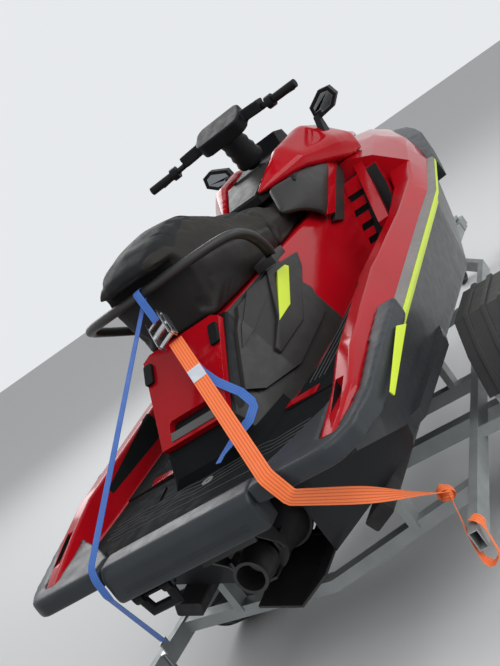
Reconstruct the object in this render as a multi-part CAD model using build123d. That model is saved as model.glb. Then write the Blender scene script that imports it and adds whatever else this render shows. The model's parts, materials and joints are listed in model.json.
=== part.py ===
from build123d import *
import math
import os

# A three-seat runabout watercraft strapped on its single-axle trailer.
# Lengths are millimetres. Row frame: +X to the bow, +Y to port, +Z up, ground at z = 0.
# Craft pieces are drawn from the stern datum and the keel line, and trailer pieces from the
# stern datum and the ground, then moved by CRAFT and TRAILER.

# Placing
STERN_X = -2186.5
KEEL_HEIGHT = 330.0
CRAFT = Location((STERN_X, 0, KEEL_HEIGHT))
TRAILER = Location((STERN_X, 0, 0))
SEAT_GAP = 0.3
SHAFT_CLEARANCE = 0.08

# Hull: x, keel z, chine y, chine z, rail y, rail z, shelf z inside the rail
HULL_STATIONS = (
    (60, 0, 500, 235, 548, 440, 425),
    (250, 0, 520, 235, 582, 457, 427),
    (700, 0, 520, 235, 590, 498, 430),
    (1900, 0, 520, 235, 584, 572, 440),
    (2400, 25, 450, 300, 532, 622, 520),
    (2900, 95, 315, 400, 412, 660, 600),
    (3250, 220, 200, 490, 283, 680, 640),
    (3450, 380, 95, 590, 150, 690, 665),
    (3520, 480, 45, 635, 75, 692, 680),
)
CHINE_STEP = (18, 24)
LEDGE = 25
LEDGE_FOOT = 37

# Deck tray: x, crest y, crest z, inner crest y, floor y, floor z
TRAY_STATIONS = (
    (60, 526, 490, 484, 458, 470),
    (250, 556, 531, 497, 463, 470),
    (420, 545, 568, 490, 455, 470),
    (1000, 515, 612, 462, 440, 485),
    (1600, 520, 632, 465, 425, 500),
    (2000, 525, 665, 440, 395, 515),
    (2200, 505, 705, 400, 350, 525),
)
TRAY_ROUNDS = ((4, 16), (5, 14), (6, 12))
# Foredeck: x, crest y, crest z, shoulder y, shoulder z, top y, top z
FOREDECK_STATIONS = (
    (2200, 505, 705, 390, 810, 280, 858),
    (2600, 452, 755, 335, 846, 225, 880),
    (2900, 350, 780, 258, 858, 170, 880),
    (3100, 290, 790, 205, 852, 130, 868),
    (3300, 215, 796, 150, 836, 88, 848),
    (3450, 120, 790, 85, 812, 50, 822),
    (3520, 66, 778, 45, 793, 20, 800),
)
FOREDECK_ROUNDS = ((4, 10), (5, 14), (6, 10))
# Seat pedestal: x, base y, base z, top y, top z
PEDESTAL_STATIONS = (
    (340, 160, 460, 120, 500),
    (400, 185, 460, 132, 580),
    (660, 255, 460, 175, 800),
    (1000, 275, 470, 195, 800),
    (1700, 262, 490, 195, 800),
    (2210, 300, 500, 230, 800),
)
PEDESTAL_ROUNDS = ((2, 14),)


def section(x, points, rounds=()):
    """Closed wire across the craft at a station, with the listed corners rounded."""
    wire = Wire.make_polygon([Vector(x, y, z) for y, z in points], close=True)
    for index, radius in rounds:
        corner = Vector(x, *points[index])
        near = [vertex for vertex in wire.vertices() if (Vector(*vertex) - corner).length < 0.01]
        wire = wire.fillet_2d(radius, near)
    return wire


def station_loft(sections, rounds=()):
    """Solid through station outlines, each given as x and its points."""
    return Solid.make_loft([section(x, points, rounds) for x, points in sections], True)


def on_both(rounds, half_count):
    """Rounded corners of a half outline, repeated on the outline's other side."""
    return [(index, radius) for index, radius in rounds] + [
        (2 * half_count - 2 - index, radius) for index, radius in rounds]


def slab(points, low, high, plane):
    """Solid of an outline drawn on XZ or XY and run from low to high across it."""
    if plane == "XZ":
        wire = Wire.make_polygon([Vector(x, low, z) for x, z in points], close=True)
        return Solid.extrude(Face(wire), Vector(0, high - low, 0))
    wire = Wire.make_polygon([Vector(x, y, low) for x, y in points], close=True)
    return Solid.extrude(Face(wire), Vector(0, 0, high - low))


def block(x0, x1, y0, y1, z0, z1):
    """Box between two corners."""
    return Solid.make_box(x1 - x0, y1 - y0, z1 - z0, Plane((x0, y0, z0)))


def rod(start, end, radius):
    """Round bar from one point to another."""
    start = Vector(*start)
    end = Vector(*end)
    way = end - start
    return Solid.make_cylinder(radius, way.length, Plane(origin=start, z_dir=way))


def bent_tube(points, radii, radius):
    """Round bar along straight runs joined by arcs."""
    path = FilletPolyline(*points, radius=radii)
    start = Plane(origin=path @ 0, z_dir=path % 0)
    return sweep(start * Circle(radius), path=path).solid()


def beam(start, end, width, height):
    """Rectangular bar between two points, width level and height upright."""
    start = Vector(*start)
    end = Vector(*end)
    way = end - start
    side = Vector(0, 0, 1).cross(way)
    if side.length < 1e-6:
        side = Vector(0, 1, 0)
    frame = Plane(origin=start, x_dir=side, z_dir=way)
    return extrude(frame * Rectangle(width, height), way.length).solid()


def one(shape):
    """An operation's result as one solid, or as a compound where it left several."""
    shapes = shape if isinstance(shape, list) else [shape]
    solids = [solid for each in shapes for solid in each.solids()]
    return solids[0] if len(solids) == 1 else Compound(children=solids)


def largest(shape):
    """Biggest solid that a cut left."""
    return max(one(shape).solids(), key=lambda solid: solid.volume)


def both_sides(shape):
    """The starboard shape with its port mirror image."""
    whole = one(shape)
    return [whole, whole.mirror(Plane.XZ)]


def fuse(*solids):
    """One solid out of pieces that overlap."""
    pieces = [one(solid) for solid in solids]
    return one(pieces[0].fuse(*pieces[1:]))


def interpolate(table, x, column):
    """Value of a table's column between its stations."""
    for low, high in zip(table, table[1:]):
        if low[0] <= x <= high[0]:
            share = (x - low[0]) / (high[0] - low[0])
            return low[column] + share * (high[column] - low[column])
    raise ValueError(x)


# Trailer frame: the rails' path as x and y
RAIL_PATH = ((200, 600), (1500, 470), (2750, 372), (3340, 36))
RAIL_WIDTH = 30.0
TUBE_WIDTH = 50.0
TUBE_HEIGHT = 60.0
TUBE_WALL = 4.0
RAIL_Z = 335.0
CROSS_Z = RAIL_Z - TUBE_HEIGHT
CROSS_SIZE = 50.0
CROSS_DEPTH = 42.0
LEVEL_CROSS_X = 1470.0
# Cross-members that rise to the rails: x, height at the middle, height at the rails
REAR_CROSS = (500.0, 250.0, 340.0)
FRONT_CROSS = (2250.0, 297.0, 335.0)
DRAWBAR_WIDTH = 70.0

# Axle, wheels and mudguards
AXLE_X = 1110.0
WHEEL_RADIUS = 275.0
AXLE_SIZE = 60.0
TRACK_HALF = 745.0
TYRE_WIDTH = 155.0
RIM_RADIUS = 165.0
HUB_RADIUS = 55.0
STUB_RADIUS = 17.0
# Mudguard's outside: distance from the axle and height above the ground
GUARD_OUTLINE = ((-290, 430), (-235, 560), (-140, 655), (140, 655), (235, 560), (290, 430))
GUARD_WIDTH = 215.0
GUARD_WALL = 5.0
GUARD_RIB = 8.0
GUARD_RIB_PITCH = 62.0
STAY_DEPTH = 7.0
STAY_TOP = 500.0

# Bunks
BUNK_Y = 350.0
BUNK_WIDTH = 90.0
BUNK_THICKNESS = 45.0
BUNK_REAR_X = 300.0
BUNK_FRONT_X = 1890.0
CHINE_Y = 520.0
CHINE_Z = 235.0
DEADRISE = math.degrees(math.atan2(CHINE_Z, CHINE_Y))
POST_PLATE = 60.0
FRONT_POST_Y = 228.0

# Winch post and jockey wheel
BOW_X = 3560.0
STOP_REACH = 60.0
POST_SETBACK = 240.0
POST_X = BOW_X + POST_SETBACK
POST_SIZE = 60.0
STOP_Z = 1045.0
WINCH_Z = 850.0
WINCH_X = POST_X + 95.0
DRUM_RADIUS = 26.0
DRUM_FLANGE = 45.0
DRUM_LENGTH = 60.0
DRAWBAR_NOSE = 490.0
DRAWBAR_END_X = POST_X + DRAWBAR_NOSE
JOCKEY_SETBACK = 230.0
JOCKEY_X = DRAWBAR_END_X - JOCKEY_SETBACK
JOCKEY_Y = 105.0
JOCKEY_TUBE_RADIUS = 24.0
JOCKEY_WHEEL_RADIUS = 100.0
JOCKEY_WHEEL_WIDTH = 50.0
JOCKEY_TRAIL = 35.0
BALL_RADIUS = 25.0
COUPLING_REACH = 70.0
COUPLING_X = DRAWBAR_END_X + COUPLING_REACH


def hollow_beam(start, end, width, height):
    """Box tube with open ends."""
    outer = beam(start, end, width, height)
    way = (Vector(*end) - Vector(*start)).normalized()
    first = Vector(*start) - way
    last = Vector(*end) + way
    bore = beam(tuple(first), tuple(last), width - 2 * TUBE_WALL, height - 2 * TUBE_WALL)
    return outer.cut(bore)


def side_rail():
    """Starboard rail: its rear run is an open tube, and the last run closes in on the drawbar."""
    points = [(x, -y, RAIL_Z) for x, y in RAIL_PATH]
    runs = [hollow_beam(points[0], points[1], RAIL_WIDTH, TUBE_HEIGHT)]
    for start, end in zip(points[1:], points[2:]):
        runs.append(beam(start, end, RAIL_WIDTH, TUBE_HEIGHT))
    knees = [rod((x, y, z - TUBE_HEIGHT / 2), (x, y, z + TUBE_HEIGHT / 2), RAIL_WIDTH / 2)
             for x, y, z in points[1:-1]]
    return fuse(*runs, *knees)


def rail_y(x):
    """Distance of the rails' centre from the centre line."""
    return interpolate(RAIL_PATH, x, 1)


def rising_crossmember(x, middle_z, rail_z):
    """Cross-member that is lowest under the keel and rises to the rails on each side."""
    reach = rail_y(x)
    arm = beam((x, -reach, rail_z), (x, 0, middle_z), CROSS_SIZE, CROSS_DEPTH)
    knee = rod((x - CROSS_SIZE / 2, 0, middle_z), (x + CROSS_SIZE / 2, 0, middle_z), CROSS_DEPTH / 2)
    inside = block(x - CROSS_SIZE, x + CROSS_SIZE, 2 - reach, reach - 2, 0, 2 * RAIL_Z)
    return one(fuse(*both_sides(arm), knee).intersect(inside))


def level_crossmember(x):
    """Level cross-member under the rails."""
    reach = rail_y(x) + RAIL_WIDTH / 2
    top = RAIL_Z - TUBE_HEIGHT / 2 + 1
    return block(x - CROSS_SIZE / 2, x + CROSS_SIZE / 2, -reach, reach, top - CROSS_SIZE, top)


def drawbar():
    """Centre tube from the front cross-member to the coupling, with the plate under the rails' ends."""
    low = CROSS_Z - TUBE_HEIGHT / 2
    rail_end = RAIL_PATH[-1][0]
    tube = block(FRONT_CROSS[0] + 1, DRAWBAR_END_X, -DRAWBAR_WIDTH / 2, DRAWBAR_WIDTH / 2,
                 low, low + TUBE_HEIGHT)
    plate = block(rail_end - 90, rail_end + 30, -DRAWBAR_WIDTH / 2 - 30, DRAWBAR_WIDTH / 2 + 30,
                  low + TUBE_HEIGHT - 6, low + TUBE_HEIGHT + 4)
    return fuse(tube, plate)


def axle():
    """Axle beam with a stub at each end for the hubs."""
    half = TRACK_HALF - TYRE_WIDTH / 2 - 20
    tube = block(AXLE_X - AXLE_SIZE / 2, AXLE_X + AXLE_SIZE / 2, -half, half,
                 WHEEL_RADIUS - AXLE_SIZE / 2, WHEEL_RADIUS + AXLE_SIZE / 2)
    end = TRACK_HALF + 35
    stub = rod((AXLE_X, -end, WHEEL_RADIUS), (AXLE_X, end, WHEEL_RADIUS), STUB_RADIUS)
    flange = [rod((AXLE_X, side * (half - 1), WHEEL_RADIUS), (AXLE_X, side * (half + 8), WHEEL_RADIUS),
                  HUB_RADIUS - 10) for side in (-1, 1)]
    return fuse(tube, stub, *flange)


def turned(profile, centre, axis):
    """Solid of revolution: profile points are along the axis and out from it."""
    frame = Plane(origin=centre, x_dir=axis, z_dir=Vector(*axis).cross(Vector(0, 0, 1)))
    face = Face(Wire.make_polygon([frame.from_local_coords(Vector(a, r, 0)) for a, r in profile],
                                  close=True))
    return Solid.revolve(face, 360, Axis(centre, axis))


def tyre(side):
    """Road tyre with rounded shoulders."""
    half = TYRE_WIDTH / 2
    near = [(half - 14, RIM_RADIUS), (half, RIM_RADIUS + 30), (half, WHEEL_RADIUS - 45),
            (half - 10, WHEEL_RADIUS - 12), (half - 26, WHEEL_RADIUS)]
    profile = [(-a, r) for a, r in near] + near[::-1]
    return turned(profile, (AXLE_X, side * TRACK_HALF, WHEEL_RADIUS), (0, 1, 0))


def rim(side):
    """Steel disc wheel with its hub, bored for the stub axle."""
    half = TYRE_WIDTH / 2 - 14
    bore = STUB_RADIUS + SHAFT_CLEARANCE
    disc_inner = 18
    disc_outer = 26
    profile = [(-half, RIM_RADIUS), (-half, RIM_RADIUS - 12), (disc_inner, RIM_RADIUS - 20),
               (disc_inner, HUB_RADIUS), (-40, HUB_RADIUS), (-40, bore), (52, bore), (52, HUB_RADIUS - 20),
               (disc_outer, HUB_RADIUS - 16), (disc_outer, RIM_RADIUS - 32), (half, RIM_RADIUS - 12),
               (half, RIM_RADIUS)]
    if side < 0:
        profile = [(-a, r) for a, r in reversed(profile)]
    wheel = turned(profile, (AXLE_X, side * TRACK_HALF, WHEEL_RADIUS), (0, 1, 0))
    y = side * TRACK_HALF
    ring = (HUB_RADIUS + RIM_RADIUS) / 2
    for turn in range(8):
        angle = math.radians(45 * turn)
        x = AXLE_X + ring * math.cos(angle)
        z = WHEEL_RADIUS + ring * math.sin(angle)
        wheel = wheel.cut(rod((x, y - 60, z), (x, y + 60, z), 12))
    return wheel


def inset_line(points, depth):
    """Open outline moved inward by a depth, with mitred corners and its ends kept at their heights."""
    ways = [(Vector(*b) - Vector(*a)).normalized() for a, b in zip(points, points[1:])]
    moved = []
    for index, point in enumerate(points):
        before = ways[max(index - 1, 0)]
        after = ways[min(index, len(ways) - 1)]
        inward = (Vector(before.Y, -before.X) + Vector(after.Y, -after.X)).normalized()
        reach = depth / inward.dot(Vector(before.Y, -before.X))
        moved.append((point[0] + inward.X * reach, point[1] + inward.Y * reach))
    slope = depth / ways[0].Y
    moved[0] = (points[0][0] + slope, points[0][1])
    moved[-1] = (points[-1][0] - slope, points[-1][1])
    return moved


def guard_band(depth, low, high):
    """Length of mudguard wall between two widths, its outer face proud of the outline by a depth."""
    outside = inset_line(GUARD_OUTLINE, -depth)
    inside = inset_line(GUARD_OUTLINE, GUARD_WALL)
    points = [(AXLE_X + x, z) for x, z in outside + inside[::-1]]
    return slab(points, low, high, "XZ")


def mudguard(side):
    """Moulded arch over a wheel in flat facets, with three ribs along it."""
    middle = side * (TRACK_HALF + 2)
    half = GUARD_WIDTH / 2
    ribs = [guard_band(GUARD_RIB, middle + rib * GUARD_RIB_PITCH - 9, middle + rib * GUARD_RIB_PITCH + 9)
            for rib in (-1, 0, 1)]
    return fuse(guard_band(0, middle - half, middle + half), *ribs)


def guard_stays():
    """Arms with a gusset from the rails out to plates inside each mudguard's ends."""
    inside = inset_line(GUARD_OUTLINE, GUARD_WALL + SEAT_GAP)
    foot = inside[0]
    knee = inside[1]
    share = (STAY_TOP - foot[1]) / (knee[1] - foot[1])
    top = foot[0] + share * (knee[0] - foot[0])
    low = RAIL_Z - 12
    outer = TRACK_HALF + GUARD_WIDTH / 4
    bars = []
    for way in (-1, 1):
        plate = slab([(AXLE_X - way * x, z) for x, z in (
            (foot[0], low), foot, (top, STAY_TOP), (top + STAY_DEPTH, STAY_TOP),
            (foot[0] + STAY_DEPTH, foot[1]), (foot[0] + STAY_DEPTH, low))],
            -outer, 90 - TRACK_HALF, "XZ")
        x = AXLE_X - way * foot[0]
        rail = rail_y(x) + RAIL_WIDTH / 2 - 2
        near, far = sorted((x, x - way * STAY_DEPTH))
        bar = block(near, far, -outer, -rail, low, low + 38)
        gusset = slab([(x, -rail), (x - way * 80, -rail), (x, -rail - 92)], low, low + 6, "XY")
        bars += both_sides(fuse(plate, bar, gusset))
    return bars


def on_bottom(x, y, lift):
    """Point at a distance below the hull's flat bottom panel, measured square to it."""
    angle = math.radians(DEADRISE)
    return (x, -(y + lift * math.sin(angle)), KEEL_HEIGHT + y * math.tan(angle) - lift * math.cos(angle))


def bunk():
    """Starboard bunk, tilted to lie flat under the hull's bottom."""
    angle = math.radians(DEADRISE)
    start = on_bottom(BUNK_REAR_X, BUNK_Y, SEAT_GAP + BUNK_THICKNESS / 2)
    frame = Plane(origin=start, x_dir=(0, -math.cos(angle), math.sin(angle)), z_dir=(1, 0, 0))
    face = frame * RectangleRounded(BUNK_WIDTH, BUNK_THICKNESS, 9)
    return extrude(face, BUNK_FRONT_X - BUNK_REAR_X).solid()


def cross_z(cross, y):
    """Height of a rising cross-member's centre at a distance from the centre line."""
    x, middle_z, rail_z = cross
    return middle_z + y / rail_y(x) * (rail_z - middle_z)


def bunk_posts():
    """Upright posts that carry the bunks on the cross-members."""
    angle = math.radians(DEADRISE)
    posts = []
    for x, base in ((REAR_CROSS[0], cross_z(REAR_CROSS, BUNK_Y)), (LEVEL_CROSS_X, CROSS_Z)):
        top = KEEL_HEIGHT + BUNK_Y * math.tan(angle)
        post = block(x - POST_PLATE / 2, x + POST_PLATE / 2, -BUNK_Y - 5, -BUNK_Y + 22, base, top + 30)
        low = on_bottom(x, BUNK_Y, SEAT_GAP + BUNK_THICKNESS)
        frame = Plane(origin=(x - 60, low[1], low[2]), x_dir=(0, -math.cos(angle), math.sin(angle)),
                      z_dir=(1, 0, 0))
        above = extrude(frame * Pos(0, -150) * Rectangle(600, 300), 120).solid()
        posts += both_sides(post.cut(above))
    return posts


def front_posts(hull_solid):
    """Short angle posts on the front cross-member, just clear of the hull's bottom."""
    x = FRONT_CROSS[0]
    keel_z, chine_y, chine_z = at(HULL_STATIONS, x)[:3]
    top = KEEL_HEIGHT + keel_z + FRONT_POST_Y / chine_y * (chine_z - keel_z)
    post = block(x - 20, x + 20, -FRONT_POST_Y - 3, -FRONT_POST_Y + 3, cross_z(FRONT_CROSS, FRONT_POST_Y), top)
    side = block(x - 20, x - 14, -FRONT_POST_Y - 40, -FRONT_POST_Y + 3, cross_z(FRONT_CROSS, FRONT_POST_Y), top)
    clearance = hull_solid.moved(Location((0, 0, KEEL_HEIGHT - 2)))
    return both_sides(fuse(post, side).cut(clearance))


def winch_post():
    """Square post on the drawbar that carries the winch and the bow stop."""
    low = CROSS_Z + TUBE_HEIGHT / 2
    half = POST_SIZE / 2
    post = block(POST_X - half, POST_X + half, -half, half, low, STOP_Z + 40)
    foot = block(POST_X - 70, POST_X + 70, -DRAWBAR_WIDTH / 2 - 6, DRAWBAR_WIDTH / 2 + 6, low, low + 8)
    arm_end = BOW_X + STOP_REACH
    arm = block(arm_end, POST_X, -half / 2, half / 2, STOP_Z - 20, STOP_Z + 20)
    cheeks = [block(POST_X + half - 1, WINCH_X + 40, side * (DRUM_LENGTH / 2 + 12) - 3,
                    side * (DRUM_LENGTH / 2 + 12) + 3, WINCH_Z - 55, WINCH_Z + 40) for side in (-1, 1)]
    back = block(POST_X + half - 1, POST_X + half + 5, -DRUM_LENGTH / 2 - 15, DRUM_LENGTH / 2 + 15,
                 WINCH_Z - 55, WINCH_Z + 40)
    body = fuse(post, foot, arm, back, *cheeks)
    shaft = rod((WINCH_X, -200, WINCH_Z), (WINCH_X, 200, WINCH_Z), 8 + SHAFT_CLEARANCE)
    return body.cut(shaft)


def winch_drum():
    """Drum with its wound strap, its shaft and the crank."""
    half = DRUM_LENGTH / 2
    centre = (WINCH_X, 0, WINCH_Z)
    profile = [(-half, 0), (-half, DRUM_FLANGE), (-half + 4, DRUM_FLANGE), (-half + 4, DRUM_RADIUS + 10),
               (half - 4, DRUM_RADIUS + 10), (half - 4, DRUM_FLANGE), (half, DRUM_FLANGE), (half, 0)]
    drum = turned(profile, centre, (0, 1, 0))
    crank_y = half + 34
    shaft = rod((WINCH_X, -half - 22, WINCH_Z), (WINCH_X, crank_y, WINCH_Z), 8)
    arm = beam((WINCH_X, crank_y, WINCH_Z + 14), (WINCH_X, crank_y, WINCH_Z - 190), 8, 24)
    knob = rod((WINCH_X, crank_y - 3, WINCH_Z - 176), (WINCH_X, crank_y + 90, WINCH_Z - 176), 14)
    return fuse(drum, shaft, arm, knob)


def bow_stop():
    """V-shaped rubber block that the bow rests against."""
    x = BOW_X + STOP_REACH
    points = [(x, -14), (x - 22, -70), (x - 48, -70), (BOW_X + SEAT_GAP, -10), (BOW_X + SEAT_GAP, 10),
              (x - 48, 70), (x - 22, 70), (x, 14)]
    return slab(points, STOP_Z - 45, STOP_Z + 45, "XY")


def coupling():
    """Pressed ball coupling with its lever, open below for the ball."""
    low = CROSS_Z - TUBE_HEIGHT / 2
    sleeve = block(DRAWBAR_END_X - 90, DRAWBAR_END_X + 20, -DRAWBAR_WIDTH / 2 - 6, DRAWBAR_WIDTH / 2 + 6,
                   low, low + TUBE_HEIGHT + 6)
    tube = block(DRAWBAR_END_X - 200, DRAWBAR_END_X, -DRAWBAR_WIDTH / 2, DRAWBAR_WIDTH / 2,
                 low, low + TUBE_HEIGHT)
    neck = slab([(DRAWBAR_END_X + 10, -38), (COUPLING_X, -34), (COUPLING_X, 34), (DRAWBAR_END_X + 10, 38)],
                low + 12, low + TUBE_HEIGHT + 2, "XY")
    head = rod((COUPLING_X, 0, low + 6), (COUPLING_X, 0, low + TUBE_HEIGHT + 2), 38)
    lever = fuse(block(COUPLING_X - 130, COUPLING_X - 20, -14, 14, low + 78, low + 92),
                 block(COUPLING_X - 50, COUPLING_X - 20, -14, 14, low + 40, low + 90))
    body = fuse(sleeve.cut(tube), neck, head, lever)
    ball = Solid.make_sphere(BALL_RADIUS + 0.5, Plane((COUPLING_X, 0, low + 26)), -90, 90, 360)
    mouth = rod((COUPLING_X, 0, low - 5), (COUPLING_X, 0, low + 26), BALL_RADIUS + 0.5)
    return body.cut(ball, mouth)


def jockey_tube():
    """Outer tube of the jockey wheel with its clamp on the drawbar and its winding handle."""
    top = 620
    low = CROSS_Z - TUBE_HEIGHT / 2 - 20
    tube = rod((JOCKEY_X, JOCKEY_Y, low), (JOCKEY_X, JOCKEY_Y, top), JOCKEY_TUBE_RADIUS)
    bore = rod((JOCKEY_X, JOCKEY_Y, low - 1), (JOCKEY_X, JOCKEY_Y, top - 60),
               JOCKEY_TUBE_RADIUS - 5 + SHAFT_CLEARANCE)
    clamp = block(JOCKEY_X - 30, JOCKEY_X + 30, DRAWBAR_WIDTH / 2, JOCKEY_Y, CROSS_Z - 25, CROSS_Z + 25)
    spindle = rod((JOCKEY_X, JOCKEY_Y, top - 1), (JOCKEY_X, JOCKEY_Y, top + 22), 8)
    arm = block(JOCKEY_X - 9, JOCKEY_X + 110, JOCKEY_Y - 9, JOCKEY_Y + 9, top + 14, top + 22)
    knob = rod((JOCKEY_X + 100, JOCKEY_Y, top + 20), (JOCKEY_X + 100, JOCKEY_Y, top + 85), 12)
    return fuse(tube, clamp, spindle, arm, knob).cut(bore)


def jockey_fork():
    """Inner tube and fork that swivel about the jockey wheel's upright axis."""
    radius = JOCKEY_TUBE_RADIUS - 5
    crown = 2 * JOCKEY_WHEEL_RADIUS + 12
    tube = rod((JOCKEY_X, JOCKEY_Y, crown), (JOCKEY_X, JOCKEY_Y, 500), radius)
    wheel_x = JOCKEY_X - JOCKEY_TRAIL
    half = JOCKEY_WHEEL_WIDTH / 2 + 6
    plate = block(wheel_x - 22, JOCKEY_X + 24, JOCKEY_Y - half - 5, JOCKEY_Y + half + 5, crown, crown + 6)
    cheek_outline = [(wheel_x - 22, JOCKEY_WHEEL_RADIUS - 18), (wheel_x + 22, JOCKEY_WHEEL_RADIUS - 18),
                     (JOCKEY_X + 24, crown + 2), (wheel_x - 22, crown + 2)]
    cheeks = [slab(cheek_outline, JOCKEY_Y + low, JOCKEY_Y + low + 5, "XZ") for low in (-half - 5, half)]
    pin = rod((wheel_x, JOCKEY_Y - half - 9, JOCKEY_WHEEL_RADIUS),
              (wheel_x, JOCKEY_Y + half + 9, JOCKEY_WHEEL_RADIUS), 8)
    return fuse(tube, plate, *cheeks, pin)


def jockey_wheel():
    """Solid rubber wheel with a dished web."""
    half = JOCKEY_WHEEL_WIDTH / 2
    r = JOCKEY_WHEEL_RADIUS
    profile = [(-half + 5, 8 + SHAFT_CLEARANCE), (half - 5, 8 + SHAFT_CLEARANCE), (half - 5, 26), (12, 30),
               (12, r - 30), (half, r - 26), (half, r - 8), (half - 9, r), (-half + 9, r),
               (-half, r - 8), (-half, r - 26), (-12, r - 30), (-12, 30), (-half + 5, 26)]
    return turned(profile, (JOCKEY_X - JOCKEY_TRAIL, JOCKEY_Y, r), (0, 1, 0))


# Craft
TUNNEL_HALF = 125.0
TUNNEL_TOP = 372.0
TUNNEL_FRONT_X = 640.0
PUMP_BAY_X = 430.0
TRANSOM_X = 400.0
TRANSOM_HALF = 750.0
PLATFORM_Z = 300.0
PLATFORM_LIP_Z = 420.0
PUMP_Z = 205.0
BAY_X0 = 1150.0
BAY_X1 = 1900.0
BAY_HALF = 180.0
BAY_FLOOR = 130.0
BAY_TOP = 640.0
SEAT_BASE_Z = 800.0
MAT_THICKNESS = 6.0
STERN_EDGE_X = 60.0
TRAY_END_X = 2200.0
ALL_X = sorted({row[0] for table in (HULL_STATIONS, TRAY_STATIONS, FOREDECK_STATIONS) for row in table})


def full(half):
    """Closed outline from a half whose first and last points lie on the centre line."""
    return [(-y, z) for y, z in half] + [(y, z) for y, z in reversed(half[1:-1])]


def at(table, x):
    """Row of a table between its stations, without its x."""
    return [interpolate(table, x, column) for column in range(1, len(table[0]))]


def joint_line(x):
    """Deck joint at a station: from the shelf on the centre line, over the ledge, out to the rail."""
    rail_side, rail_z, shelf_z = at(HULL_STATIONS, x)[3:]
    return rail_side, rail_z, [(0, shelf_z), (rail_side - LEDGE_FOOT, shelf_z), (rail_side - LEDGE, rail_z)]


def joint_filler():
    """Solid over the seat gap between hull and deck, for trimming the bumpers round them."""
    sections = []
    for x in ALL_X:
        rail_side, rail_z, shelf_z = at(HULL_STATIONS, x)[3:]
        sections.append((x, full([(0, shelf_z - 3), (rail_side - LEDGE_FOOT, shelf_z - 3),
                                  (rail_side - LEDGE + 1, rail_z - 1), (rail_side - LEDGE - 3, rail_z + 2),
                                  (0, rail_z + 2)])))
    return station_loft(sections)


def hull():
    """Hull below the rail, cut back under the platform, with a pump tunnel, intake and engine bay."""
    step_y, step_z = CHINE_STEP
    sections = []
    for x in ALL_X:
        keel_z, chine_y, chine_z = at(HULL_STATIONS, x)[:3]
        rail_side, rail_z, joint = joint_line(x)
        half = [(0, keel_z), (chine_y, chine_z), (chine_y + step_y, chine_z + step_z),
                (rail_side, rail_z)] + joint[::-1]
        sections.append((x, full(half)))
    body = station_loft(sections)
    stern = slab([(-10, -20), (TRANSOM_X, -20), (TRANSOM_X, PLATFORM_Z), (STERN_EDGE_X, PLATFORM_LIP_Z),
                  (-10, PLATFORM_LIP_Z)], -TRANSOM_HALF, TRANSOM_HALF, "XZ")
    tunnel = fuse(block(-10, TUNNEL_FRONT_X, -TUNNEL_HALF, TUNNEL_HALF, -20, PUMP_Z),
                  rod((-10, 0, PUMP_Z), (TUNNEL_FRONT_X, 0, PUMP_Z), TUNNEL_HALF),
                  block(-10, PUMP_BAY_X, -TUNNEL_HALF, TUNNEL_HALF, PUMP_Z - 1, TUNNEL_TOP))
    intake = slab([(TUNNEL_FRONT_X - 1, -20), (TUNNEL_FRONT_X - 1, PUMP_Z + 70), (1060, -20)],
                  -85, 85, "XZ")
    shaft = rod((TUNNEL_FRONT_X - 1, 0, PUMP_Z), (BAY_X0 + 1, 0, PUMP_Z), SHAFT_RADIUS + 6)
    bay = block(BAY_X0, BAY_X1, -BAY_HALF, BAY_HALF, BAY_FLOOR, BAY_TOP)
    return fuse(body, *both_sides(sponson())).cut(stern, tunnel, intake, shaft, bay)


def tray_section(x):
    """Closed outline of the deck tray at a station."""
    rail_side, rail_z, joint = joint_line(x)
    crest_y, crest_z, inner_y, floor_y, floor_z = at(TRAY_STATIONS, x)
    return x, full(inside(joint) + [(rail_side, rail_z), (crest_y, crest_z), (inner_y, crest_z + 2),
                                    (floor_y, floor_z), (0, floor_z)])


def inside(joint):
    """The deck's side of the joint, a seat's gap in from the hull's ledge."""
    return [joint[0]] + [(y - SEAT_GAP, z) for y, z in joint[1:]]


def foredeck_section(x):
    """Closed outline of the foredeck at a station."""
    rail_side, rail_z, joint = joint_line(x)
    crest_y, crest_z, shoulder_y, shoulder_z, top_y, top_z = at(FOREDECK_STATIONS, x)
    return x, full(inside(joint) + [(rail_side, rail_z), (crest_y, crest_z), (shoulder_y, shoulder_z),
                                    (top_y, top_z), (0, top_z)])


def pedestal():
    """Raised spine under the seat with the sloped face behind it."""
    sections = []
    for x, base_y, base_z, top_y, top_z in PEDESTAL_STATIONS:
        sections.append((x, full([(0, base_z), (base_y, base_z), (top_y, top_z), (0, top_z)])))
    return station_loft(sections, on_both(PEDESTAL_ROUNDS, 4))


STRUT_REAR_X = 1640.0
STRUT_FRONT_X = 2330.0
STRUT_WIDTH = 44.0
STRUT_DEPTH = 34.0
WALL_FOOT = (1775.0, 490.0)
WALL_TOP = (2110.0, 785.0)
LOUVRE_HEIGHTS = (555, 607, 664, 720)
LOUVRE_HEIGHT = 24.0
LOUVRE_DEPTH = 22.0
LOUVRE_REACH = 318.0
CLEAT_X = 210.0
BUCKET_X0 = 2480.0
BUCKET_X1 = 3050.0
BUCKET_HALF = 130.0
BUCKET_FLOOR = 700.0


def deck():
    """Deck moulding: footwells, gunwales, foredeck with its bow locker, and seat pedestal."""
    tray = station_loft([tray_section(x) for x in ALL_X if x <= TRAY_END_X], on_both(TRAY_ROUNDS, 8))
    fore = station_loft([foredeck_section(x) for x in ALL_X if x >= TRAY_END_X],
                        on_both(FOREDECK_ROUNDS, 8))
    locker = block(BUCKET_X0, BUCKET_X1, -BUCKET_HALF, BUCKET_HALF, BUCKET_FLOOR, 950)
    bay = block(BAY_X0, BAY_X1, -BAY_HALF, BAY_HALF, BAY_FLOOR, BAY_TOP)
    return fuse(tray, fore, pedestal(), *both_sides(strut()), *both_sides(front_wall())).cut(
        locker, bay, *cleat_slots())


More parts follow.
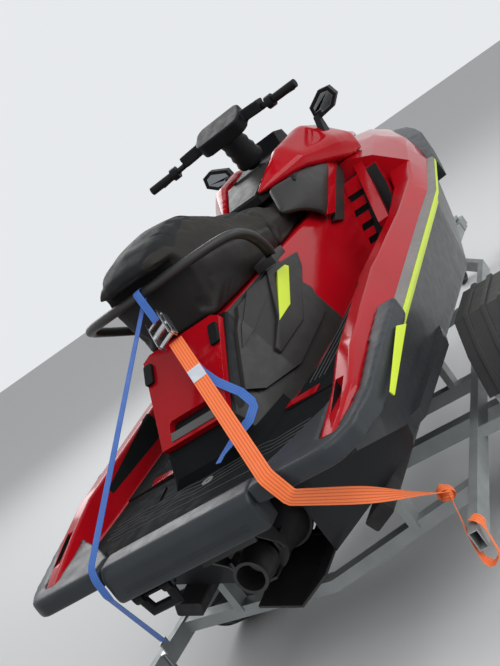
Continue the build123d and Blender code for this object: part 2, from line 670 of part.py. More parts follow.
def strut():
    """Starboard pillar from the gunwale up to the foredeck, over the front of the footwell."""
    lower = (STRUT_REAR_X, -440, interpolate(TRAY_STATIONS, STRUT_REAR_X, 2) - 20)
    upper = (STRUT_FRONT_X, -285, interpolate(FOREDECK_STATIONS, STRUT_FRONT_X, 6) - 26)
    return beam(lower, upper, STRUT_WIDTH, STRUT_DEPTH)


def front_wall():
    """Sloped wall across the front of the starboard footwell."""
    foot_x, foot_z = WALL_FOOT
    top_x, top_z = WALL_TOP
    side = slab([(foot_x, foot_z), (top_x, top_z), (TRAY_END_X + 5, top_z), (TRAY_END_X + 5, foot_z)],
                -500, 0, "XZ")
    plan = slab([(foot_x - 10, -425), (2000, -428), (TRAY_END_X + 5, -388), (TRAY_END_X + 5, -200),
                 (foot_x - 10, -200)], 480, 800, "XY")
    return one(side.intersect(plan)).cut(*louvres())


def louvres():
    """Slots across the front wall of the starboard footwell."""
    foot_x, foot_z = WALL_FOOT
    top_x, top_z = WALL_TOP
    slots = []
    for z in LOUVRE_HEIGHTS:
        x = foot_x + (z - foot_z) / (top_z - foot_z) * (top_x - foot_x)
        inner = interpolate(((500, 300), (800, 230)), z, 1) - 14
        slots.append(block(x - 40, x + LOUVRE_DEPTH, -LOUVRE_REACH, -inner, z - LOUVRE_HEIGHT / 2,
                           z + LOUVRE_HEIGHT / 2))
    return slots


def cleat_slots():
    """Recess with a bar slot in the top of each gunwale, beside the platform."""
    top = interpolate(TRAY_STATIONS, CLEAT_X, 2)
    recess = block(CLEAT_X - 75, CLEAT_X + 75, -532, -506, top - 14, top + 60)
    return both_sides(recess)


def wall_y(x, z):
    """Half breadth of the hull or deck's outer wall at a station and height."""
    step_y, step_z = CHINE_STEP
    keel_z, chine_y, chine_z, rail_side, rail_z = at(HULL_STATIONS, x)[:5]
    if z <= rail_z:
        share = (z - chine_z - step_z) / (rail_z - chine_z - step_z)
        return chine_y + step_y + share * (rail_side - chine_y - step_y)
    crest_y, crest_z = at(TRAY_STATIONS if x <= TRAY_END_X else FOREDECK_STATIONS, x)[:2]
    share = (z - rail_z) / (crest_z - rail_z)
    return rail_side + share * (crest_y - rail_side)


def side_band(rows):
    """Starboard moulding along the deck joint: rows give x, drop, rise, depth and edge."""
    sections = []
    for x, below, above, depth, edge in rows:
        rail_side, rail_z = at(HULL_STATIONS, x)[3:5]
        low = wall_y(x, rail_z - below) + SEAT_GAP
        high = wall_y(x, rail_z + above) + SEAT_GAP
        points = [(-low, rail_z - below), (-rail_side - depth, rail_z - below + edge),
                  (-rail_side - depth, rail_z + above - edge), (-high, rail_z + above),
                  (-rail_side - SEAT_GAP, rail_z)]
        sections.append((x, points))
    return station_loft(sections)


BUMPER_FRONT_X = 700.0
BOW_BUMPER_X = 2400.0
STRIPE_DROP = 44.0
STRIPE_GAP = 0.9


def rub_rail():
    """Rubber rail along the deck joint from the stern bumpers to the bow bumper."""
    stations = [x for x in ALL_X if BUMPER_FRONT_X <= x <= BOW_BUMPER_X]
    return both_sides(side_band([(x, 16, 20, 20, 5) for x in stations]))


def side_stripes():
    """Bright stripe on the hull just under the rub rail, front and rear lengths."""
    stations = [x for x in ALL_X if BUMPER_FRONT_X <= x <= BOW_BUMPER_X]
    sections = []
    for x in stations:
        rail_z = at(HULL_STATIONS, x)[4]
        low = rail_z - STRIPE_DROP
        high = rail_z - 13
        sections.append((x, [(-wall_y(x, low) - STRIPE_GAP, low), (-wall_y(x, low) - 4, low),
                             (-wall_y(x, high) - 4, high), (-wall_y(x, high) - STRIPE_GAP, high)]))
    return both_sides(station_loft(sections))


# Bow fender: x, drop and rise from the deck joint, depth, edge
BOW_BUMPER = (
    (2400, 92, 10, 24, 4),
    (2600, 90, 34, 34, 10),
    (2900, 78, 62, 46, 16),
    (3100, 68, 72, 56, 20),
    (3300, 58, 80, 68, 24),
    (3450, 50, 84, 78, 26),
    (3520, 42, 84, 72, 26),
)


def bow_bumper():
    """Thick bow fender: a band along each side that meets a cap round the nose."""
    bands = both_sides(side_band(BOW_BUMPER))
    last, drop, rise, depth, edge = BOW_BUMPER[-1]
    rail_side, rail_z = at(HULL_STATIONS, last)[3:5]
    side = rail_side + depth
    plan = [(last - 1, -side), (last + 16, -side + 12), (BOW_X, -side + 58), (BOW_X, side - 58),
            (last + 16, side - 12), (last - 1, side)]
    cap = slab(plan, rail_z - drop + edge, rail_z + rise - edge, "XY")
    crown = slab([(last + SEAT_GAP, -side + 28), (BOW_X - 14, -side + 70), (BOW_X - 14, side - 70),
                  (last + SEAT_GAP, side - 28)], rail_z - drop + 6, rail_z + rise - 4, "XY")
    return fuse(cap, crown, *bands)


STERN_X0 = -25.0
CENTRE_BUMPER_HALF = 268.0
# Stern bumper's side view: x, underside, top
CORNER_SIDE = ((-40, 438, 494), (60, 434, 494), (200, 432, 504), (400, 452, 530), (700, 493, 562))


def corner_bumper(hull_solid, deck_solid):
    """Starboard stern bumper that wraps from the side round the corner of the platform."""
    plan = [(BUMPER_FRONT_X, -560), (BUMPER_FRONT_X, -628), (200, -608), (60, -580), (0, -542),
            (-18, -505), (-12, -340), (-12, -CENTRE_BUMPER_HALF - 1),
            (STERN_EDGE_X + 1, -CENTRE_BUMPER_HALF - 1), (150, -350), (330, -545), (400, -560)]
    side = [(x, low) for x, low, _ in CORNER_SIDE] + [(x, top) for x, _, top in CORNER_SIDE[::-1]]
    body = one(slab(plan, 300, 700, "XY").intersect(slab(side, -700, 0, "XZ")))
    return largest(body.cut(hull_solid, deck_solid, joint_filler()))


def centre_bumper():
    """Padded roll across the middle of the stern."""
    half = CENTRE_BUMPER_HALF
    profile = [(STERN_EDGE_X - SEAT_GAP, 372), (STERN_X0 + 8, 372), (STERN_X0, 384), (STERN_X0, 462),
               (STERN_X0 + 20, 486), (STERN_EDGE_X + 10, 490), (STERN_EDGE_X + 10, 472),
               (STERN_EDGE_X - SEAT_GAP, 472)]
    roll = slab(profile, -half, half, "XZ")
    return fuse(roll, step_ears())


def mats():
    """Traction mats on the platform and in both footwells."""
    platform = [(74, -262), (74, -274), (150, -340), (330, -430), (430, -430), (430, -235), (325, -215),
                (310, 0)]
    points = platform + [(x, -y) for x, y in reversed(platform[:-1])]
    aft = slab(points, 0, 1, "XY")
    sections = []
    for x in (74, 430):
        z = interpolate(TRAY_STATIONS, x, 5)
        sections.append((x, [(-440, z + 0.3), (-440, z + MAT_THICKNESS), (440, z + MAT_THICKNESS),
                             (440, z + 0.3)]))
    sheet = station_loft(sections)
    prism = slab(points, 400, 600, "XY")
    platform_mat = sheet.intersect(prism)
    wells = []
    for x in (500, 800, 1500, 1765):
        z = interpolate(TRAY_STATIONS, x, 5)
        inner = interpolate(PEDESTAL_STATIONS, x, 1) + 16
        outer = interpolate(TRAY_STATIONS, x, 4) - 10
        wells.append((x, [(-inner, z + 0.3), (-outer, z + 0.3), (-outer, z + MAT_THICKNESS),
                          (-inner, z + MAT_THICKNESS)]))
    return [platform_mat] + both_sides(station_loft(wells))


# Seat: x, base z, low y, side y, side z, top y, top z, crown z
SEAT_FOOT = SEAT_BASE_Z + SEAT_GAP
PASSENGER_SEAT = (
    (566, 1022, 112, 124, 1030, 92, 1046, 1054),
    (660, 1018, 155, 170, 1028, 122, 1072, 1084),
    (664, SEAT_FOOT, 140, 176, 985, 126, 1074, 1086),
    (850, SEAT_FOOT, 175, 205, 960, 150, 1092, 1106),
    (1050, SEAT_FOOT, 185, 205, 945, 150, 1080, 1094),
    (1300, SEAT_FOOT, 185, 200, 925, 140, 1035, 1048),
)
RIDER_SEAT = (
    (1300.5, SEAT_FOOT, 185, 200, 920, 140, 1018, 1030),
    (1450, SEAT_FOOT, 178, 195, 905, 132, 1000, 1010),
    (1640, SEAT_FOOT, 150, 172, 885, 118, 932, 942),
    (2000, SEAT_FOOT, 150, 168, 872, 105, 912, 924),
)


def seat(table):
    """Saddle cushion through its stations."""
    sections = []
    for x, base, low_y, side_y, side_z, top_y, top_z, crown_z in table:
        sections.append((x, full([(0, base), (low_y, base), (side_y, side_z), (top_y, top_z),
                                  (0, crown_z)])))
    return station_loft(sections)


# Steering cowl cheeks: x, inner y, low y, low z, side y, side z, top y, top z
CHEEK_STATIONS = (
    (1640, 76, 98, 972, 104, 986, 92, 1000),
    (1900, 125, 228, 945, 242, 1000, 175, 1082),
    (2200, 136, 300, 865, 308, 960, 205, 1098),
    (2400, 140, 330, 806, 325, 930, 200, 1056),
)


def cheek():
    """Starboard side of the steering cowl."""
    sections = []
    for x, inner_y, low_y, low_z, side_y, side_z, top_y, top_z in CHEEK_STATIONS:
        sections.append((x, [(-inner_y, low_z), (-low_y, low_z), (-side_y, side_z), (-top_y, top_z),
                             (-inner_y, top_z)]))
    return station_loft(sections)


def cowl():
    """Both cheeks of the steering cowl, joined across the front."""
    front = block(2372, 2400, -145, 145, SEAT_BASE_Z + 1, 1040)
    return fuse(*both_sides(cheek()), front)


CONSOLE_REAR_X = 1645.0
CONSOLE_MID_X = 1900.0
CONSOLE_FRONT_X = 2370.0
STEM_REAR_X = 2012.0
KNEE_FRONT_X = CONSOLE_FRONT_X - 2
BOX_X0 = 1690.0
BOX_X1 = 1850.0
BOX_HALF = 78.0
BOX_FLOOR = 956.0
LID_THICKNESS = 12.0
LID_REAR_X = 1652.0
LID_FRONT_X = 1876.0
LID_HINGE_X = 1890.0
LID_HINGE_Z = 1058.0
CONSOLE_REAR_TOP = 972.0
CONSOLE_MID_TOP = 1050.0
STEER_X = 2030.0
STEER_Z = 1068.0
STEER_LEAN = 25.0
COLUMN_RADIUS = 38.0


def console_top(x):
    """Height of the console's upper face."""
    share = (x - CONSOLE_REAR_X) / (CONSOLE_MID_X - CONSOLE_REAR_X)
    return CONSOLE_REAR_TOP + share * (CONSOLE_MID_TOP - CONSOLE_REAR_TOP)


def console():
    """Centre console between the cheeks, hollow for the glovebox and bored for the column."""
    sections = []
    for x, low, high in ((CONSOLE_REAR_X, 946, CONSOLE_REAR_TOP),
                         (CONSOLE_MID_X, 945, CONSOLE_MID_TOP),
                         (2200, 945, 1078), (CONSOLE_FRONT_X, 945, 1064)):
        half = interpolate(CHEEK_STATIONS, x, 1) - SEAT_GAP
        sections.append((x, full([(0, low), (half, low), (half, high), (0, high)])))
    top = station_loft(sections)
    stem = block(STEM_REAR_X, CONSOLE_FRONT_X, -120, 120, SEAT_BASE_Z + SEAT_GAP, 950)
    box = block(BOX_X0, BOX_X1, -BOX_HALF, BOX_HALF, BOX_FLOOR, 1200)
    lean = math.radians(STEER_LEAN)
    way = Vector(-math.sin(lean), 0, math.cos(lean))
    centre = Vector(STEER_X, 0, STEER_Z)
    low = centre - way * 70
    bore = rod(tuple(low), tuple(centre + way * 60), 17 + SHAFT_CLEARANCE)
    base = block(STEM_REAR_X + 88, KNEE_FRONT_X, -232, 232, SEAT_BASE_Z + SEAT_GAP, SEAT_BASE_Z + 8)
    ears = [block(LID_HINGE_X - 10, LID_HINGE_X + 10, side * 72 - 6, side * 72 + 6, 1030, LID_HINGE_Z + 9)
            for side in (-1, 1)]
    pin = rod((LID_HINGE_X, -200, LID_HINGE_Z), (LID_HINGE_X, 200, LID_HINGE_Z), 4 + SHAFT_CLEARANCE)
    body = fuse(top.cut(box, bore), stem, base, *both_sides(knee_panel()), display_pod())
    return fuse(body, *ears).cut(pin)


def glovebox_lid():
    """Lid of the glovebox with its hinge barrel at the front edge."""
    rear = console_top(LID_REAR_X) + 1.5
    front = console_top(LID_FRONT_X) + 1.5
    outline_ = [(LID_REAR_X, rear), (LID_FRONT_X, front), (LID_FRONT_X, front + LID_THICKNESS),
                (LID_REAR_X, rear + LID_THICKNESS)]
    plate = slab(outline_, -112, 112, "XZ")
    taper = [slab([(LID_REAR_X - 5, side * 66), (LID_FRONT_X + 1, side * 112),
                   (LID_FRONT_X + 1, side * 140), (LID_REAR_X - 5, side * 140)], 900, 1200, "XY")
             for side in (-1, 1)]
    barrel = rod((LID_HINGE_X, -62, LID_HINGE_Z), (LID_HINGE_X, 62, LID_HINGE_Z), 7)
    neck = block(LID_FRONT_X - 6, LID_HINGE_X, -60, 60, LID_HINGE_Z - 5, LID_HINGE_Z + 5)
    pin = rod((LID_HINGE_X, -78, LID_HINGE_Z), (LID_HINGE_X, 78, LID_HINGE_Z), 4)
    return fuse(plate.cut(*taper), neck, barrel, pin)


BAR_RISE = 177.0
# Starboard half of the bar, from the clamp to the grip's end
BAR_PATH = ((20, 0, BAR_RISE), (16, -120, 199), (-57, -255, 222), (-72, -385, 227))


def on_column(x, y, up):
    """Point given across and along the steering axis from the column's foot."""
    lean = math.radians(STEER_LEAN)
    return (STEER_X + x * math.cos(lean) - up * math.sin(lean), y,
            STEER_Z + x * math.sin(lean) + up * math.cos(lean))


def steering_bar():
    """Column, clamp and handlebar tube."""
    shaft = rod(on_column(0, 0, -68), on_column(0, 0, 10), 17)
    column = rod(on_column(0, 0, 12), on_column(0, 0, BAR_RISE), COLUMN_RADIUS)
    neck = rod(on_column(0, 0, 5), on_column(0, 0, 20), 24)
    points = [on_column(*point) for point in BAR_PATH]
    tube = bent_tube(points, [60, 70], 12)
    return fuse(shaft, neck, column, *both_sides(tube), *switch_pods())


PAD_FOOT = 190.0
PAD_THICKNESS = 66.0


def bar_pad():
    """Padded cover over the middle of the handlebar, with an arm out to each switch cluster."""
    lean = math.radians(STEER_LEAN)
    frame = Plane(origin=on_column(-4, 0, PAD_FOOT), x_dir=(math.cos(lean), 0, math.sin(lean)),
                  z_dir=(-math.sin(lean), 0, math.cos(lean)))
    body = extrude(frame * RectangleRounded(140, 236, 40), PAD_THICKNESS).solid()
    arm = beam(on_column(6, -60, PAD_FOOT + 28), on_column(-28, -218, PAD_FOOT + 34), 54, 50)
    return fuse(body, *both_sides(arm)).cut(steering_bar())


def grips():
    """Rubber grip at each end of the bar."""
    start = Vector(*on_column(*BAR_PATH[-2]))
    end = Vector(*on_column(*BAR_PATH[-1]))
    way = (end - start).normalized()
    grip = rod(tuple(end - way * 105), tuple(end + way * 12), 18)
    core = rod(tuple(end - way * 200), tuple(end), 12)
    return both_sides(grip.cut(core))


def switch_pods():
    """Switch cluster and lever beside each grip."""
    start = Vector(*on_column(*BAR_PATH[-2]))
    end = Vector(*on_column(*BAR_PATH[-1]))
    way = (end - start).normalized()
    pod = rod(tuple(start - way * 6), tuple(start + way * 24), 27)
    lever = beam(tuple(start + way * 2 + Vector(38, 0, -6)),
                 tuple(start + way * 110 + Vector(52, 0, -14)), 9, 12)
    root = beam(tuple(start + way * 8), tuple(start + way * 8 + Vector(44, 0, -7)), 12, 14)
    return both_sides(fuse(pod, lever, root))


def display_pod():
    """Instrument pod ahead of the handlebar."""
    side = [(2165, 1070), (2178, 1142), (2290, 1128), (2320, 1062)]
    return slab(side, -95, 95, "XZ")


MIRROR_X = 2312.0
MIRROR_Z = 1120.0


def mirror():
    """Starboard mirror: stem from the cowl and an angular housing."""
    stem = slab([(2232, 1000), (2312, 985), (2327, 1075), (2297, 1085)], -268, -240, "XZ")
    head = Wire.make_polygon([Vector(MIRROR_X, y, z) for y, z in (
        (-268, 1062), (-338, 1070), (-383, 1110), (-370, 1158), (-323, 1168), (-246, 1128),
        (-240, 1085))], close=True)
    shell = Solid.extrude(Face(head), Vector(46, 0, 0))
    return fuse(stem, shell).cut(cheek())


HATCH_FOOT = (400, 0, 580)
HATCH_TOP_X = 660


def rear_hatch():
    """Panel on the sloped face behind the seat, slotted for the grab handle."""
    slope = math.atan2(SEAT_BASE_Z - HATCH_FOOT[2], HATCH_TOP_X - HATCH_FOOT[0])
    frame = Plane(origin=HATCH_FOOT, x_dir=(0, -1, 0), z_dir=(-math.sin(slope), 0, math.cos(slope)))
    length = math.hypot(SEAT_BASE_Z - HATCH_FOOT[2], HATCH_TOP_X - HATCH_FOOT[0])
    face = make_face(frame * Polyline((-128, 8), (128, 8), (160, length - 20), (130, length - 2),
                                      (-130, length - 2), (-160, length - 20), close=True))
    plate = extrude(face, 24).solid().moved(Location(frame.z_dir * SEAT_GAP))
    slot = extrude(frame * Pos(0, 58) * RectangleRounded(176, 66, 16), 60).solid()
    return plate.cut(slot)


def hatch_handle():
    """Grab bar across the hatch's slot."""
    slope = math.atan2(SEAT_BASE_Z - HATCH_FOOT[2], HATCH_TOP_X - HATCH_FOOT[0])
    frame = Plane(origin=HATCH_FOOT, x_dir=(0, -1, 0), z_dir=(-math.sin(slope), 0, math.cos(slope)))
    bar = extrude(frame * Pos(0, 46) * Rectangle(168, 22), 20).solid().moved(
        Location(frame.z_dir * 8))
    feet = [extrude(frame * Pos(side * 70, 46) * Rectangle(16, 20), 12).solid().moved(
        Location(frame.z_dir * SEAT_GAP)) for side in (-1, 1)]
    return fuse(bar, *feet)


def hatch_latches():
    """Rubber latch at each upper corner of the hatch."""
    slope = math.atan2(SEAT_BASE_Z - HATCH_FOOT[2], HATCH_TOP_X - HATCH_FOOT[0])
    frame = Plane(origin=HATCH_FOOT, x_dir=(0, -1, 0), z_dir=(-math.sin(slope), 0, math.cos(slope)))
    return [extrude(frame * Pos(side * 136, 262) * RectangleRounded(34, 74, 8), 12).solid().moved(
        Location(frame.z_dir * (24 + 2 * SEAT_GAP))) for side in (-1, 1)]


GRAB_Z = 968.0


def grab_rail():
    """Moulded rail that runs behind the seat and down to the pedestal on each side."""
    points = [(1035, -236, 812), (980, -268, 838), (880, -304, 902), (800, -322, 950), (720, -316, 976),
              (660, -280, GRAB_Z + 10), (625, -215, GRAB_Z + 16), (612, -130, GRAB_Z + 18), (610, 0, GRAB_Z + 18)]
    path = Polyline(*points)
    start = Plane(origin=path @ 0, z_dir=path % 0, x_dir=(0, 1, 0))
    ring = [(17 * math.cos(math.radians(turn)), 13 * math.sin(math.radians(turn)))
            for turn in range(30, 390, 60)]
    side = sweep(start * make_face(Polyline(*ring, close=True)), path=path,
                 transition=Transition.RIGHT).solid()
    foot = block(960, 1075, -272, -196, SEAT_BASE_Z + SEAT_GAP, 828)
    return fuse(*both_sides(side), *both_sides(foot))


def side_panel():
    """Dark panel on the starboard side of the pedestal."""
    outline_ = [(470, 600), (520, 560), (700, 530), (1080, 560), (1140, 640), (1060, 785), (700, 785),
                (620, 740)]
    wall = slab(outline_, -420, 0, "XZ")
    skin = []
    for x, base_y, base_z, top_y, top_z in PEDESTAL_STATIONS:
        skin.append((x, full([(0, base_z), (base_y + 14, base_z), (top_y + 14, top_z + 1),
                              (0, top_z + 1)])))
    gap = []
    for x, base_y, base_z, top_y, top_z in PEDESTAL_STATIONS:
        gap.append((x, full([(0, base_z), (base_y + SEAT_GAP, base_z), (top_y + SEAT_GAP, top_z + 1),
                             (0, top_z + 1)])))
    return station_loft(skin).cut(station_loft(gap)).intersect(wall)


def side_inserts():
    """Bright wedge let into each side panel."""
    outline_ = [(575, 690), (880, 742), (915, 790), (800, 796), (640, 742)]
    wall = slab(outline_, -420, 0, "XZ")
    outer = []
    inner = []
    for x, base_y, base_z, top_y, top_z in PEDESTAL_STATIONS:
        outer.append((x, full([(0, base_z), (base_y + 19, base_z), (top_y + 19, top_z), (0, top_z)])))
        inner.append((x, full([(0, base_z), (base_y + 12, base_z), (top_y + 12, top_z), (0, top_z)])))
    return station_loft(outer).cut(station_loft(inner)).intersect(wall)


def knee_panel():
    """Starboard panel between the saddle and the cowl's lower edge."""
    outline_ = [(1700, SEAT_BASE_Z + SEAT_GAP), (1672, 950), (1700, 966), (1900, 941), (2200, 860),
                (KNEE_FRONT_X, 808), (KNEE_FRONT_X, SEAT_BASE_Z + SEAT_GAP)]
    return slab(outline_, -232, -196, "XZ").cut(cheek())


# Hood: x, half width, edge height above the foredeck, crown height above it
HOOD_STATIONS = (
    (2440, 236, 40, 58),
    (2600, 214, 42, 66),
    (2900, 160, 34, 56),
    (3100, 122, 24, 38),
    (3190, 104, 16, 26),
)
HOOD_CLEARANCE = 5.0
HOOD_WALL = 5.0
HINGE_X = 3215.0
HINGE_Z = 868.65
HINGE_RADIUS = 6.0


def hood_shell(inset):
    """Outline stations of the hood, drawn in by a wall thickness."""
    sections = []
    for x, half, edge, crown in HOOD_STATIONS:
        deck_top = interpolate(FOREDECK_STATIONS, x, 6) + HOOD_CLEARANCE
        base = deck_top - (1 if inset else 0)
        end = x
        if inset and x == HOOD_STATIONS[0][0]:
            end = x + inset
        if inset and x == HOOD_STATIONS[-1][0]:
            end = x - inset
        sections.append((end, full([(0, base), (half - inset, base), (half - inset, deck_top + edge - inset),
                                    (half * 0.7, deck_top + crown - inset),
                                    (0, deck_top + crown + 4 - inset)])))
    return station_loft(sections)


def hood():
    """Hollow front hood with its hinge knuckle at the bow end."""
    shell = hood_shell(0).cut(hood_shell(HOOD_WALL))
    neck = block(HOOD_STATIONS[-1][0] - 10, HINGE_X, -42, 42, HINGE_Z - 5, HINGE_Z + 8)
    knuckle = rod((HINGE_X, -42, HINGE_Z), (HINGE_X, 42, HINGE_Z), HINGE_RADIUS + 5)
    bore = rod((HINGE_X, -50, HINGE_Z), (HINGE_X, 50, HINGE_Z), HINGE_RADIUS + SHAFT_CLEARANCE)
    return fuse(shell, neck, knuckle).cut(bore)


def hood_hinge():
    """Hinge pin of the hood on two brackets of the foredeck."""
    low = interpolate(FOREDECK_STATIONS, HINGE_X, 6) + 2
    pin = rod((HINGE_X, -60, HINGE_Z), (HINGE_X, 60, HINGE_Z), HINGE_RADIUS)
    ears = [block(HINGE_X - 14, HINGE_X + 14, side * 54 - 7, side * 54 + 7, low, HINGE_Z + 10)
            for side in (-1, 1)]
    return fuse(pin, *ears)


# Jet pump
SHAFT_RADIUS = 13.0
IMPELLER_RADIUS = 75.0
DUCT_RADIUS = 80.0
OUTLET_X = 290.0
PIVOT_X = 250.0
NOZZLE_REAR_X = 155.0
BUCKET_PIVOT_Z = 225.0
BUCKET_ARM_Y = 94.0
BUCKET_REACH = 112.0
BUCKET_ANGLE = 65.0
EAR_Y = 82.0


def around_pump(profile):
    """Solid turned about the pump's axis: profile points are x and radius."""
    face = Face(Wire.make_polygon([Vector(x, r, PUMP_Z) for x, r in profile], close=True))
    return Solid.revolve(face, 360, Axis((0, 0, PUMP_Z), (1, 0, 0)))


def pump_housing():
    """Impeller duct, stator vanes with the shaft's bearing, outlet, and both pivots' ears."""
    front = TUNNEL_FRONT_X - SEAT_GAP
    duct = around_pump([(front, DUCT_RADIUS), (front, 112), (front - 18, 112), (front - 18, 96),
                        (470, 96), (470, 104), (452, 104), (452, 96), (OUTLET_X + 95, 78), (OUTLET_X + 22, 62),
                        (OUTLET_X + 22, 74), (OUTLET_X, 74), (OUTLET_X, 44), (OUTLET_X + 95, 58), (460, DUCT_RADIUS)])
    bore = SHAFT_RADIUS + SHAFT_CLEARANCE
    hub = around_pump([(460, bore), (460, 34), (410, 32), (350, 8), (350, 0), (395, 0), (395, bore)])
    vanes = []
    for turn in range(6):
        vane = block(402, 455, -3, 3, 26, 70)
        vanes.append(vane.rotate(Axis((0, 0, 0), (1, 0, 0)), 60 * turn).moved(Location((0, 0, PUMP_Z))))
    ears = [block(PIVOT_X - 16, OUTLET_X + 20, side * EAR_Y - 5, side * EAR_Y + 5, BUCKET_PIVOT_Z - 14,
                  BUCKET_PIVOT_Z + 14) for side in (-1, 1)]
    webs = [block(OUTLET_X + 2, OUTLET_X + 20, min(side * 60, side * EAR_Y), max(side * 60, side * EAR_Y),
                  BUCKET_PIVOT_Z - 14, BUCKET_PIVOT_Z + 14) for side in (-1, 1)]
    lugs = [block(PIVOT_X - 14, OUTLET_X + 20, -15, 15, PUMP_Z + up - 4, PUMP_Z + up + 4)
            for up in (-68, 68)]
    body = fuse(duct, hub, *vanes, *ears, *webs, *lugs)
    pins = rod((PIVOT_X, -200, BUCKET_PIVOT_Z), (PIVOT_X, 200, BUCKET_PIVOT_Z), 6 + SHAFT_CLEARANCE)
    pivot = rod((PIVOT_X, 0, PUMP_Z - 100), (PIVOT_X, 0, PUMP_Z + 100), 5 + SHAFT_CLEARANCE)
    swept = rod((PIVOT_X - 30, 0, PUMP_Z), (OUTLET_X - 0.5, 0, PUMP_Z), 62)
    return body.cut(pins, pivot, swept)


def impeller():
    """Four-bladed impeller on the drive shaft."""
    shaft = rod((397, 0, PUMP_Z), (BAY_X0 + 30, 0, PUMP_Z), SHAFT_RADIUS)
    hub = around_pump([(480, 0), (480, 34), (560, 30), (590, 16), (590, 0)])
    blades = []
    for turn in range(4):
        blade = block(-26, 26, -3, 3, 20, IMPELLER_RADIUS + 20).rotate(Axis((0, 0, 0), (0, 0, 1)), 50)
        blade = blade.moved(Location((520, 0, 0))).rotate(Axis((0, 0, 0), (1, 0, 0)), 90 * turn)
        blades.append(blade.moved(Location((0, 0, PUMP_Z))))
    trim = rod((460, 0, PUMP_Z), (600, 0, PUMP_Z), IMPELLER_RADIUS)
    wheel = fuse(hub, *blades).intersect(trim)
    return fuse(wheel, shaft)


def steering_nozzle():
    """Swivelling outlet nozzle with its upper and lower pivot pins."""
    front = PIVOT_X + 5
    tube = around_pump([(front, 50), (front, 56), (PIVOT_X - 20, 56), (NOZZLE_REAR_X + 16, 48),
                        (NOZZLE_REAR_X + 16, 52), (NOZZLE_REAR_X, 52), (NOZZLE_REAR_X, 42)])
    pins = [rod((PIVOT_X, 0, PUMP_Z + side * 52), (PIVOT_X, 0, PUMP_Z + side * 72), 5) for side in (-1, 1)]
    bosses = [rod((PIVOT_X, 0, PUMP_Z + side * 52), (PIVOT_X, 0, PUMP_Z + side * 60), 12)
              for side in (-1, 1)]
    return fuse(tube, *pins, *bosses).cut(rod((0, 0, PUMP_Z), (PIVOT_X + 100, 0, PUMP_Z), 42))


def reverse_bucket():
    """Reverse gate, raised above the nozzle, on two pins at the pump's ears."""
    lift = math.radians(BUCKET_ANGLE)
    out = Vector(-math.cos(lift), 0, math.sin(lift))
    along = Vector(math.sin(lift), 0, math.cos(lift))
    pivot = Vector(PIVOT_X, 0, BUCKET_PIVOT_Z)
    half = BUCKET_ARM_Y + 4
    shape = [(BUCKET_REACH + 4, -52), (BUCKET_REACH - 8, -60), (BUCKET_REACH - 2, -66),
             (BUCKET_REACH + 11, -56), (BUCKET_REACH + 11, 56), (BUCKET_REACH - 2, 66),
             (BUCKET_REACH - 8, 60), (BUCKET_REACH + 4, 52)]
    wire = Wire.make_polygon([pivot + out * r + along * t + Vector(0, -half, 0) for r, t in shape], close=True)
    scoop = Solid.extrude(Face(wire), Vector(0, 2 * half, 0))
    arm_shape = [(-14, -14), (14, -14), (BUCKET_REACH + 8, -50), (BUCKET_REACH + 8, 50), (14, 14), (-14, 14)]
    arms = []
    for y in (-half, BUCKET_ARM_Y - 4):
        ring = Wire.make_polygon([pivot + out * r + along * t + Vector(0, y, 0) for r, t in arm_shape],
                                 close=True)
        arms.append(Solid.extrude(Face(ring), Vector(0, 8, 0)))
    pins = [rod((PIVOT_X, side * (EAR_Y - 6), BUCKET_PIVOT_Z), (PIVOT_X, side * BUCKET_ARM_Y, BUCKET_PIVOT_Z), 6)
            for side in (-1, 1)]
    return fuse(scoop, *arms, *pins)


RIDE_REAR_X = 270.0


def ride_plate():
    """Plate that closes the tunnel under the pump."""
    half = TUNNEL_HALF - SEAT_GAP
    rise = half * CHINE_Z / CHINE_Y
    points = full([(0, 2), (half, rise + 2), (half, rise + 10), (0, 10)])
    return station_loft([(RIDE_REAR_X, points), (TUNNEL_FRONT_X - SEAT_GAP, points)])


def intake_grate():
    """Bars across the water intake in the keel."""
    half = 85 - SEAT_GAP
    rise = half * CHINE_Z / CHINE_Y
    points = full([(0, 4), (half, rise + 4), (half, rise + 14), (0, 14)])
    plate = station_loft([(TUNNEL_FRONT_X + SEAT_GAP, points), (950, points)])
    slots = [block(670, 925, y - 11, y + 11, -50, 200) for y in (-64, -32, 0, 32, 64)]
    return plate.cut(*slots)


def engine_block():
    """Plain block at the engine's place and size."""
    return block(1195, 1855, -160, 160, BAY_FLOOR + SEAT_GAP, 600)


def sponson():
    """Starboard planing fin on the hull's side."""
    return slab([(430, -530), (480, -572), (980, -580), (1120, -548), (1120, -530)], 266, 300, "XY")


# Boarding step
STEP_X = 26.0
STEP_Y = 184.0
STEP_Z = 352.0
STEP_HALF = 52.0
STEP_PIN = 6.0


def boarding_step():
    """Folded U-shaped step under the stern bumper, with its pivot pin."""
    low = (STEP_X + 6, STEP_Z - 52)
    points = [(STEP_X, STEP_Y - STEP_HALF, STEP_Z), (low[0], STEP_Y - STEP_HALF + 8, low[1]),
              (low[0], STEP_Y + STEP_HALF - 8, low[1]), (STEP_X, STEP_Y + STEP_HALF, STEP_Z)]
    path = Polyline(*points)
    start = Plane(origin=path @ 0, z_dir=path % 0)
    loop = sweep(start * Circle(15), path=path, transition=Transition.RIGHT).solid()
    eyes = [rod((STEP_X, STEP_Y + side * STEP_HALF - 15, STEP_Z), (STEP_X, STEP_Y + side * STEP_HALF + 15, STEP_Z),
                17) for side in (-1, 1)]
    pin = rod((STEP_X, STEP_Y - STEP_HALF - 26, STEP_Z), (STEP_X, STEP_Y + STEP_HALF + 26, STEP_Z), STEP_PIN)
    return fuse(loop, *eyes, pin)


